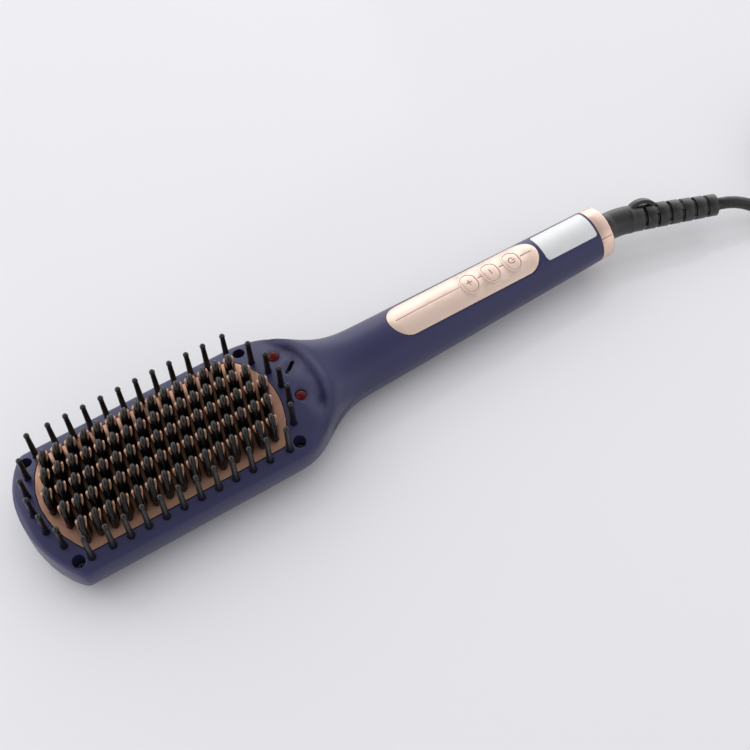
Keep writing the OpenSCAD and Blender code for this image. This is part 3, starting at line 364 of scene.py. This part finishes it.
# die-cast aluminium: bright grey, slightly grainy skin
dieCastAluminium = {
    "colour": "#b9bbbd", "shade": "#a9abae", "cloudMm": 6, "grainMm": 0.5, "grainDepth": 0.01,
    "roughness": 0.42, "spread": 0.08,
    "shader": {"Metallic": 1.0},
}
# pressed and fired alumina: chalky white
firedAlumina = {
    "colour": "#e9e7e1", "shade": "#dedbd2", "cloudMm": 5, "grainMm": 0.4, "grainDepth": 0.006,
    "roughness": 0.6, "spread": 0.05,
    "shader": {"IOR": 1.76},
}
# cut mica sheet: brownish flakes with a pearly gloss
cutMica = {
    "colour": "#a58c58", "shade": "#c4ad74", "cloudMm": 3, "grainMm": 0.8, "grainDepth": 0.01,
    "roughness": 0.3, "spread": 0.1,
    "shader": {"IOR": 1.58, "Coat Weight": 0.3},
}
# rolled spring steel: cool grey with rolling lines along the brush
springSteel = {
    "colour": "#8d8f92", "shade": "#7d7f83", "cloudMm": 4, "grainMm": 0.4, "grainDepth": 0.004,
    "stretch": (0.1, 1, 1), "roughness": 0.3, "spread": 0.08, "edge": 0.1,
    "shader": {"Metallic": 1.0},
}
# drawn glass bead: amber and glossy
drawnGlass = {
    "colour": "#c06a1c", "shade": "#a65714", "cloudMm": 1.5, "grainMm": 0.5, "grainDepth": 0.001,
    "roughness": 0.08, "spread": 0.03,
    "shader": {"IOR": 1.52, "Transmission Weight": 0.5},
}
# moulded ABS: plain black with fine spark-eroded grain
mouldedAbs = {
    "colour": "#141414", "shade": "#1a1a1b", "cloudMm": 8, "grainMm": 0.4, "grainDepth": 0.01,
    "roughness": 0.45, "spread": 0.06,
    "shader": {"IOR": 1.53},
}
# poured epoxy potting: dark grey with a meniscus gloss
pouredEpoxy = {
    "colour": "#2d2f33", "shade": "#383a3f", "cloudMm": 7, "grainMm": 1.2, "grainDepth": 0.02,
    "roughness": 0.25, "spread": 0.08,
    "shader": {"IOR": 1.55},
}
# injection moulded red acrylic: deep ruby, small sharp highlights; painted shade darkens the lenses
# where they sink into the shell
rubyAcrylic = {
    "colour": "#560709", "shade": "#3e0507", "cloudMm": 2, "grainMm": 0.8, "grainDepth": 0.001,
    "roughness": 0.08, "spread": 0.02, "paintedCreviceShade": (1.2, 0.3),
    "shader": {"IOR": 1.49, "Specular IOR Level": 0.15},
}
# cast epoxy of the lamps: water clear with a warm tint
castEpoxy = {
    "colour": "#e7c9bd", "shade": "#dfb8a8", "cloudMm": 2, "grainMm": 0.8, "grainDepth": 0.001,
    "roughness": 0.1, "spread": 0.03,
    "shader": {"IOR": 1.55, "Transmission Weight": 0.4},
}
# glass-fibre board under green solder mask
solderMask = {
    "colour": "#14502c", "shade": "#0f4225", "cloudMm": 3, "grainMm": 0.6, "grainDepth": 0.008,
    "roughness": 0.3, "spread": 0.08,
    "shader": {"IOR": 1.56, "Coat Weight": 0.3},
}
# dipped and moulded electronic parts: brown, matt
dippedParts = {
    "colour": "#4d2f1e", "shade": "#5e3a25", "cloudMm": 4, "grainMm": 0.5, "grainDepth": 0.01,
    "roughness": 0.45, "spread": 0.1,
    "shader": {"IOR": 1.5},
}
# braided glass-fibre sleeve over silicone wire: off-white, matt
braidedSleeve = {
    "colour": "#e3dfd4", "shade": "#d2cdbf", "cloudMm": 3, "grainMm": 0.5, "grainDepth": 0.05,
    "roughness": 0.75, "spread": 0.08,
    "shader": {"IOR": 1.45, "Sheen Weight": 0.3},
}
# metallised polyester film: pale silver, evenly matt, bare
metallisedFilm = {
    "colour": "#dcdddc", "shade": "#d3d4d4", "cloudMm": 14, "grainMm": 0.4, "grainDepth": 0.002,
    "roughness": 0.38, "spread": 0.04,
    "shader": {"Metallic": 0.35},
}
# moulded PVC of the boot: soft black, greyish where light grazes it; painted shade darkens its slots
# and hollows
mouldedPvc = {
    "colour": "#191615", "shade": "#201c1b", "cloudMm": 10, "grainMm": 0.6, "grainDepth": 0.012,
    "roughness": 0.3, "spread": 0.05, "paintedCreviceShade": (2, 0.03),
    "shader": {"IOR": 1.56},
}
# extruded PVC sheath of the cord: smoother, drawn lengthwise
extrudedPvc = {
    "colour": "#161414", "shade": "#1b1919", "cloudMm": 16, "grainMm": 0.7, "grainDepth": 0.006,
    "roughness": 0.28, "spread": 0.05,
    "shader": {"IOR": 1.5},
}
# woven nylon strap: dark, fuzzy
wovenNylon = {
    "colour": "#171718", "shade": "#242425", "cloudMm": 1.5, "grainMm": 0.6, "grainDepth": 0.08,
    "roughness": 0.8, "spread": 0.08,
    "shader": {"IOR": 1.5, "Sheen Weight": 0.5},
}
# nickel plated brass pins: bright, with faint sliding marks
platedBrass = {
    "colour": "#d6d1c4", "shade": "#c9c2b1", "cloudMm": 5, "grainMm": 0.4, "grainDepth": 0.002,
    "stretch": (1, 0.1, 1), "roughness": 0.16, "spread": 0.05,
    "shader": {"Metallic": 1.0},
}
# machined acetal of the swivel: waxy black
machinedAcetal = {
    "colour": "#1b1b1c", "shade": "#222223", "cloudMm": 6, "grainMm": 0.5, "grainDepth": 0.004,
    "roughness": 0.36, "spread": 0.05,
    "shader": {"IOR": 1.48},
}

finishes = {
    "softTouchNavy": (softTouchNavy, ["front_shell", "rear_shell"]),
    "anodisedRoseAluminium": (anodisedRose, ["heating_plate"]),
    "mouldedBlackNylon": (mouldedNylon, []),
    "mouldedBristleNylon": (bristleNylon, ["bristle_frame"]),
    "pearlRoseLacquer": (
        pearlRose, ["control_panel", "plus_button", "minus_button", "power_button"]
    ),
    "platedRoseAbs": (platedRose, ["tail_collar"]),
    "blackenedSteel": (blackenedSteel, ["head_screws", "clamp_screws", "board_screws"]),
    "dieCastAluminium": (dieCastAluminium, ["heat_spreader"]),
    "firedAlumina": (firedAlumina, ["ceramic_heater"]),
    "cutMica": (cutMica, ["mica_sheet"]),
    "rolledSpringSteel": (springSteel, ["heater_clamp", "barrel_clip", "thermal_fuse"]),
    "drawnAmberGlass": (drawnGlass, ["temperature_sensor"]),
    "mouldedBlackAbs": (mouldedAbs, ["ion_emitter", "key_switches"]),
    "pouredEpoxy": (pouredEpoxy, ["ion_generator"]),
    "rubyAcrylic": (rubyAcrylic, []),
    "castEpoxy": (castEpoxy, ["lamp_leds"]),
    "solderMaskBoard": (solderMask, ["lamp_board", "control_board"]),
    "dippedComponents": (dippedParts, ["board_parts"]),
    "braidedGlassSleeve": (braidedSleeve, ["heater_leads"]),
    "metallisedFilm": (metallisedFilm, ["label_film"]),
    "mouldedBlackPvc": (mouldedPvc, ["cable_boot", "plug_body"]),
    "extrudedBlackPvc": (extrudedPvc, []),
    "wovenNylonStrap": (wovenNylon, ["coil_tie"]),
    "nickelPlatedBrass": (platedBrass, ["plug_pins"]),
    "machinedBlackAcetal": (machinedAcetal, ["tail_bush", "swivel_barrel"]),
}


def dressNode(piece, material):
    piece.data.materials.clear()
    piece.data.materials.append(material)


materials = {}
for name, (look, members) in finishes.items():
    materials[name] = makeFinish(name, look)
    for member in members:
        dressNode(nodes[member], materials[name])
dressNode(mainsCord, materials["extrudedBlackPvc"])
print("materials made:", len(materials))


combShape = {  # mm and degrees
    "crownZ": 31.1,
    "crownRadius": 115.0,
    "slotPitch": 6.36,
    "slotsEachSide": 8,
    "slant": 17.6,
    "toothPitch": 9.3,
    "teethEachSide": 2,
    "thick": 2.6,
    "height": 13.2,
    "fullness": 2.3,
    "ridge": 0.05,  # depth of the fine lines moulded along the crest
    "ridgeSteps": 8,
    "footZ": 27.0,
    "barZ": (24.72, 27.22),
    "barWidth": 3.5,
    "railWidth": 2.0,
    "railInset": 2.2,  # from the outer teeth's edge
    "railEnd": 1.0,  # past the last bars
    "railStep": 0.05,  # rails lie this far inside the bars' height
    "barEndGap": 0.25,
    "barSides": 20,
}


# first and last tooth of a slot, which the plate's round ends cut short
def slotTeeth(c, i):
    cut = max(0, abs(i) - (c["slotsEachSide"] - 2))
    first = -c["teethEachSide"] + (cut if i < 0 else 0)
    last = c["teethEachSide"] - (cut if i > 0 else 0)
    return first, last


def addTooth(bm, c, i, j, steps=22, across=14):
    slant = math.radians(c["slant"])
    along = Vector((math.sin(slant), math.cos(slant), 0))
    side = Vector((math.cos(slant), -math.sin(slant), 0))
    y = c["toothPitch"] * j
    foot = Vector((headX + c["slotPitch"] * i + y * math.tan(slant), y, 0))
    crown = c["crownZ"] + math.sqrt(c["crownRadius"] ** 2 - y * y) - c["crownRadius"]
    half = c["toothPitch"] / math.cos(slant) / 2
    power = 2 / c["fullness"]
    path = [(-half, c["footZ"])]
    for k in range(steps + 1):
        a = math.pi * (1 - k / steps)
        reach = math.copysign(abs(math.cos(a)) ** power, math.cos(a))
        rise = math.sin(a) ** power if 0 < k < steps else 0
        path.append((half * reach, crown + c["height"] * rise))
    path.append((half, c["footZ"]))
    rows = []
    for k, (s, z) in enumerate(path):
        before, after = path[max(k - 1, 0)], path[min(k + 1, len(path) - 1)]
        tangent = Vector((after[0] - before[0], after[1] - before[1])).normalized()
        out = along * -tangent.y + Vector((0, 0, tangent.x))
        core = foot + along * s + Vector((0, 0, z)) - out * c["thick"] / 2
        row = []
        for n in range(across + 1):
            turn = math.pi * (n / across - 0.5)
            radius = c["thick"] / 2 - c["ridge"] * (1 - math.cos(c["ridgeSteps"] * turn)) / 2
            skin = core + radius * (math.cos(turn) * out + math.sin(turn) * side)
            row.append(bm.verts.new(skin * mm))
        rows.append(row)
    for a, b in zip(rows, rows[1:]):
        for n in range(across):
            bm.faces.new((a[n], a[n + 1], b[n + 1], b[n])).smooth = True
    bm.faces.new([row[0] for row in rows]).smooth = True
    bm.faces.new([row[-1] for row in rows][::-1]).smooth = True
    bm.faces.new(rows[0][::-1] + rows[-1])


# an upright prism over a closed outline
def addPrism(bm, outline, low, high):
    floor = [bm.verts.new((x * mm, y * mm, low * mm)) for x, y in outline]
    roof = [bm.verts.new((x * mm, y * mm, high * mm)) for x, y in outline]
    for k in range(len(outline)):
        n = (k + 1) % len(outline)
        bm.faces.new((floor[k], floor[n], roof[n], roof[k]))
    bm.faces.new(floor[::-1])
    bm.faces.new(roof)


def addBar(bm, c, i):
    slant = math.radians(c["slant"])
    along, side = (math.sin(slant), math.cos(slant)), (math.cos(slant), -math.sin(slant))
    first, last = slotTeeth(c, i)
    middle = c["toothPitch"] * (first + last) / 2
    x = headX + c["slotPitch"] * i + middle * math.tan(slant)
    reach = c["toothPitch"] / math.cos(slant) * (last - first + 1) / 2
    reach -= c["barEndGap"] + c["barWidth"] / 2
    outline = []
    for n in range(c["barSides"]):
        turn = 2 * math.pi * (n + 0.5) / c["barSides"]
        s = math.copysign(reach, math.sin(turn)) + c["barWidth"] / 2 * math.sin(turn)
        t = c["barWidth"] / 2 * math.cos(turn)
        outline.append((x + along[0] * s + side[0] * t, middle + along[1] * s + side[1] * t))
    addPrism(bm, outline, *c["barZ"])


def addRail(bm, c, end):
    y = end * (c["toothPitch"] * (c["teethEachSide"] + 0.5) - c["railInset"])
    x = headX + y * math.tan(math.radians(c["slant"])) - end * c["slotPitch"]
    run = c["slotPitch"] * (c["slotsEachSide"] - 1) + c["railEnd"]
    wide = c["railWidth"] / 2
    addPrism(
        bm, [(x - run, y - wide), (x + run, y - wide), (x + run, y + wide), (x - run, y + wide)],
        c["barZ"][0] + c["railStep"], c["barZ"][1] - c["railStep"],
    )


def makeComb(c):
    bm = bmesh.new()
    for i in range(-c["slotsEachSide"], c["slotsEachSide"] + 1):
        first, last = slotTeeth(c, i)
        for j in range(first, last + 1):
            addTooth(bm, c, i, j)
        addBar(bm, c, i)
    for end in (-1, 1):
        addRail(bm, c, end)
    comb = meshPiece("arched_comb", bm)
    dressNode(comb, materials["mouldedBlackNylon"])
    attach(comb, "housing")
    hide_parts("tooth_comb")


makeComb(combShape)
print("comb made")


lensShape = {  # mm
    "reach": 64.0,  # from the middle of the head
    "places": (16.0, -9.0),
    "radius": 2.6,
    "footZ": 27.0,
    "rimZ": 30.18,
    "dome": 0.9,
    "rimBand": 0.4,  # the last straight stretch below the rim
    "sides": 32,
    "domeSteps": 9,
}


# a closed turned form about an upright axis; its profile starts and ends on the axis
def lathe(bm, middle, profile, sides):
    x, y = middle
    rings = []
    for r, z in profile[1:-1]:
        turns = [2 * math.pi * k / sides for k in range(sides)]
        rings.append([
            bm.verts.new(((x + r * math.cos(a)) * mm, (y + r * math.sin(a)) * mm, z * mm))
            for a in turns
        ])
    ends = [bm.verts.new((x * mm, y * mm, profile[k][1] * mm)) for k in (0, -1)]
    for k in range(sides):
        n = (k + 1) % sides
        bm.faces.new((ends[0], rings[0][n], rings[0][k]))
        for a, b in zip(rings, rings[1:]):
            bm.faces.new((a[k], a[n], b[n], b[k])).smooth = True
        bm.faces.new((rings[-1][k], rings[-1][n], ends[1])).smooth = True


def makeLenses(c):
    bm = bmesh.new()
    arcs = [math.pi / 2 * k / c["domeSteps"] for k in range(c["domeSteps"] + 1)]
    profile = [(0, c["footZ"]), (c["radius"], c["footZ"])]
    profile += [(c["radius"], c["rimZ"] - c["rimBand"])]
    profile += [(c["radius"] * math.cos(a), c["rimZ"] + c["dome"] * math.sin(a)) for a in arcs]
    for y in c["places"]:
        lathe(bm, (headX + c["reach"], y), profile, c["sides"])
    lenses = meshPiece("domed_lenses", bm)
    dressNode(lenses, materials["rubyAcrylic"])
    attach(lenses, "housing")
    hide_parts("lamp_lenses")


makeLenses(lensShape)
print("lamp lenses made")


# geometry nodes that shade smooth except across edges sharper than an angle
def softShadeGroup():
    group = bpy.data.node_groups.new("softShade", "GeometryNodeTree")
    group.interface.new_socket("Geometry", in_out="INPUT", socket_type="NodeSocketGeometry")
    limit = group.interface.new_socket("Angle", in_out="INPUT", socket_type="NodeSocketFloat")
    limit.default_value = math.radians(30)
    group.interface.new_socket("Geometry", in_out="OUTPUT", socket_type="NodeSocketGeometry")
    start = addNode(group, "NodeGroupInput")
    angle = addNode(group, "GeometryNodeInputMeshEdgeAngle").outputs["Unsigned Angle"]
    smooth = addNode(
        group, "FunctionNodeCompare", {"operation": "LESS_EQUAL"},
        {0: angle, 1: start.outputs["Angle"]},
    ).outputs["Result"]
    faces = addNode(
        group, "GeometryNodeSetShadeSmooth", {"domain": "FACE"},
        {"Geometry": start.outputs["Geometry"]},
    )
    edges = addNode(
        group, "GeometryNodeSetShadeSmooth", {"domain": "EDGE"},
        {"Geometry": faces.outputs["Geometry"], "Shade Smooth": smooth},
    )
    addNode(group, "NodeGroupOutput", links={"Geometry": edges.outputs["Geometry"]})
    return group, limit.identifier


softShade, angleSocket = softShadeGroup()

skins = {
    # node: (smoothing angle in degrees, rounded edge in mm or none)
    "front_shell": (28, 0), "rear_shell": (28, 0), "heating_plate": (32, 0),
    "bristle_frame": (40, 0), "head_screws": (30, 0),
    "control_panel": (30, 0.12), "plus_button": (30, 0.15), "minus_button": (30, 0.15),
    "power_button": (30, 0.15), "tail_collar": (30, 0.2), "cable_boot": (40, 0.2),
    "plug_body": (30, 1.2), "plug_pins": (30, 0.3), "coil_tie": (30, 0.15),
    "label_film": (30, 0), "ion_emitter": (30, 0),
    "swivel_barrel": (30, 0), "tail_bush": (30, 0),
}
skinRules = {"weld": 0.002, "bevelSteps": 2, "bevelAngle": 40}  # mm, steps and degrees


def smoothSkin(name, degrees, roundMm):
    piece = nodes[name]
    for layer in ("custom_normal", "sharp_face"):
        if layer in piece.data.attributes:
            piece.data.attributes.remove(piece.data.attributes[layer])
    weld = piece.modifiers.new("weld", "WELD")
    weld.merge_threshold = skinRules["weld"] * mm
    if roundMm:
        bevel = piece.modifiers.new("roundedEdge", "BEVEL")
        bevel.width = roundMm * mm
        bevel.segments = skinRules["bevelSteps"]
        bevel.limit_method = "ANGLE"
        bevel.angle_limit = math.radians(skinRules["bevelAngle"])
        bevel.use_clamp_overlap = True
    shade = piece.modifiers.new("softShade", "NODES")
    shade.node_group = softShade
    shade[angleSocket] = math.radians(degrees)


for name, (degrees, roundMm) in skins.items():
    smoothSkin(name, degrees, roundMm)
print("skins smoothed:", len(skins))


buttonSigns = {  # mm and degrees
    "width": 0.45,  # of a sign's line
    "proud": 0.05,
    "sunk": 0.15,
    "size": 1.5,  # half a sign's reach
    "crossGap": 0.25,  # keeps the plus sign's upright clear of its bar
    "arcAngles": (40, 320),
    "strokeStart": 0.3,
}
# brown, matt strips along the signs: painted shade standing in for the shade in the engraved signs
engravedSignShade = {
    "colour": "#8a6354", "shade": "#7b5648", "cloudMm": 1.5, "grainMm": 0.3, "grainDepth": 0.004,
    "roughness": 0.5, "spread": 0.05,
    "shader": {"IOR": 1.5},
}
materials["engravedSignShade"] = makeFinish("engravedSignShade", engravedSignShade)


# one closed ribbon along a line of points, laid on the button's top
def strokeOn(bm, tree, centre, line, s):
    rows = []
    for i, point in enumerate(line):
        ahead = Vector(line[min(i + 1, len(line) - 1)]) - Vector(line[max(i - 1, 0)])
        side = Vector((-ahead.y, ahead.x)).normalized() * s["width"] / 2
        row = []
        for offset, lift in ((-1, -s["sunk"]), (-1, s["proud"]), (1, s["proud"]), (1, -s["sunk"])):
            flat = Vector(point) + side * offset
            x, y = centre.x + flat.x * mm, centre.y + flat.y * mm
            hit = tree.ray_cast(Vector((x, y, 1)), Vector((0, 0, -1)))[0]
            row.append(bm.verts.new((x, y, hit.z + lift * mm)))
        rows.append(row)
    for a, b in zip(rows, rows[1:]):
        for k in range(4):
            bm.faces.new((a[k], a[(k + 1) % 4], b[(k + 1) % 4], b[k]))
    bm.faces.new(rows[0][::-1])
    bm.faces.new(rows[-1])


def makeSign(name, button, body, lines, s):
    low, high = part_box(button)
    graph = bpy.context.evaluated_depsgraph_get()
    tree = BVHTree.FromObject(nodes[button], graph)
    bm = bmesh.new()
    for line in lines:
        strokeOn(bm, tree, (low + high) / 2, line, s)
    sign = meshPiece(name, bm)
    # the strips carry the painted shade of the engraved signs
    dressNode(sign, materials["engravedSignShade"])
    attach(sign, body)


def straight(a, b, steps=4):
    return [tuple(mix(p, q, i / steps) for p, q in zip(a, b)) for i in range(steps + 1)]


def arc(radius, start, end, steps=20):
    turns = [math.radians(mix(start, end, i / steps)) for i in range(steps + 1)]
    return [(radius * math.cos(a), radius * math.sin(a)) for a in turns]


reach, gap, start = (buttonSigns[key] for key in ("size", "crossGap", "strokeStart"))
makeSign(
    "plus_sign", "plus_button", "plus",
    [straight((-reach, 0), (reach, 0)), straight((0, -reach), (0, -gap)),
     straight((0, gap), (0, reach))],
    buttonSigns,
)
makeSign("minus_sign", "minus_button", "minus", [straight((0, -reach), (0, reach))], buttonSigns)
makeSign(
    "power_sign", "power_button", "power",
    [arc(reach, *buttonSigns["arcAngles"]), straight((start, 0), (reach + start, 0))],
    buttonSigns,
)
print("signs laid on the buttons")


studio = {
    "floorColour": "#e4e4e5",
    "floorShade": "#e2e2e4",
    "floorReach": 4.0,  # metres, like the places and sizes of the lights
    "farPlace": (-0.25, 1.45, 0.95),  # broad soft light beyond the brush
    "farSize": (2.2, 1.1),
    "farWatts": 4.2,
    "sidePlace": (-1.0, 0.7, 1.1),
    "sideSize": 1.0,
    "sideWatts": 2.4,
    "worldColour": "#f4f4f7",
    "lowLight": 0.42,  # the room's light from low down, and what straight above adds
    "highLight": 1.24,
    "zenithGloss": 0.3,  # what the gloss reflects straight above, and low down
    "horizonGloss": 0.95,
    "glossHeights": (0.35, 0.95),  # between which it dims
    "nearShare": 0.5,  # share of it on the near side
    "glossDepths": (-0.5, 0.3),  # from near to far
    "darkHeading": 0.08,  # the dim middle between the lights, and their gain beside it
    "sideGain": 5.0,
    "mostGain": 2.6,
}


def makeFloor(s):
    mesh = bpy.data.meshes.new("studioFloor")
    reach = s["floorReach"]
    mesh.from_pydata(
        [(-reach, -reach, 0), (reach, -reach, 0), (reach, reach, 0), (-reach, reach, 0)],
        [], [(0, 1, 2, 3)],
    )
    floor = bpy.data.objects.new("studioFloor", mesh)
    bpy.context.scene.collection.objects.link(floor)
    # gloss laminate table top: plain pale, with a faint reflection at the object's foot
    look = {
        "colour": s["floorColour"], "shade": s["floorShade"], "cloudMm": 400, "grainMm": 6,
        "grainDepth": 0.002, "roughness": 0.12, "spread": 0.02, "shader": {"IOR": 1.45},
    }
    dressNode(floor, makeFinish("glossLaminate", look))


def makeLamp(name, place, width, height, watts):
    data = bpy.data.lights.new(name, "AREA")
    data.shape = "RECTANGLE"
    data.size, data.size_y = width, height
    data.energy = watts
    lamp = bpy.data.objects.new(name, data)
    bpy.context.scene.collection.objects.link(lamp)
    lamp.location = place
    lamp.rotation_mode = "QUATERNION"
    lamp.rotation_quaternion = (-Vector(place)).to_track_quat("-Z", "Y")


def makeWorld(s):
    world = bpy.data.worlds.new("studioWorld")
    world.use_nodes = True
    tree = world.node_tree
    tint = {"Color": colour(s["worldColour"])}
    direction = addNode(tree, "ShaderNodeTexCoord").outputs["Generated"]
    axes = addNode(tree, "ShaderNodeSeparateXYZ", links={"Vector": direction}).outputs
    # what lights the surfaces: brighter overhead
    above = addNode(tree, "ShaderNodeMath", {"operation": "MAXIMUM", 1: 0}, {0: axes["Z"]})
    high = addNode(
        tree, "ShaderNodeMath", {"operation": "POWER", 1: 2}, {0: above.outputs[0]}
    )
    lit = addNode(
        tree, "ShaderNodeMath", {"operation": "MULTIPLY_ADD", 1: s["highLight"], 2: s["lowLight"]},
        {0: high.outputs[0]},
    )
    sky = addNode(tree, "ShaderNodeBackground", tint, {"Strength": lit.outputs[0]})
    # what their gloss reflects: a dim ceiling between lights on the far side
    height = addNode(
        tree, "ShaderNodeMapRange",
        {"From Min": s["glossHeights"][0], "From Max": s["glossHeights"][1],
         "To Min": s["horizonGloss"], "To Max": s["zenithGloss"]},
        {"Value": axes["Z"]},
    )
    depth = addNode(
        tree, "ShaderNodeMapRange",
        {"From Min": s["glossDepths"][0], "From Max": s["glossDepths"][1],
         "To Min": s["nearShare"]},
        {"Value": axes["Y"]},
    )
    across = addNode(
        tree, "ShaderNodeMath", {"operation": "SUBTRACT", 1: s["darkHeading"]}, {0: axes["X"]}
    )
    aside = addNode(tree, "ShaderNodeMath", {"operation": "ABSOLUTE"}, {0: across.outputs[0]})
    rising = addNode(
        tree, "ShaderNodeMath", {"operation": "MULTIPLY_ADD", 1: s["sideGain"], 2: 1},
        {0: aside.outputs[0]},
    )
    gain = addNode(
        tree, "ShaderNodeMath", {"operation": "MINIMUM", 1: s["mostGain"]}, {0: rising.outputs[0]}
    )
    faded = addNode(
        tree, "ShaderNodeMath", {"operation": "MULTIPLY"},
        {0: height.outputs["Result"], 1: depth.outputs["Result"]},
    )
    level = addNode(
        tree, "ShaderNodeMath", {"operation": "MULTIPLY"}, {0: faded.outputs[0], 1: gain.outputs[0]}
    )
    room = addNode(tree, "ShaderNodeBackground", tint, {"Strength": level.outputs[0]})
    rays = addNode(tree, "ShaderNodeLightPath").outputs
    glossy = addNode(
        tree, "ShaderNodeMath", {"operation": "MAXIMUM"},
        {0: rays["Is Glossy Ray"], 1: rays["Is Transmission Ray"]},
    )
    both = addNode(
        tree, "ShaderNodeMixShader",
        links={0: glossy.outputs[0], 1: sky.outputs[0], 2: room.outputs[0]},
    )
    tree.links.new(both.outputs[0], tree.nodes["World Output"].inputs["Surface"])
    bpy.context.scene.world = world


makeFloor(studio)
makeLamp("farLight", studio["farPlace"], *studio["farSize"], studio["farWatts"])
makeLamp("sideLamp", studio["sidePlace"], studio["sideSize"], studio["sideSize"],
         studio["sideWatts"])
makeWorld(studio)
bpy.context.scene.view_settings.view_transform = "Standard"
print("studio lit")
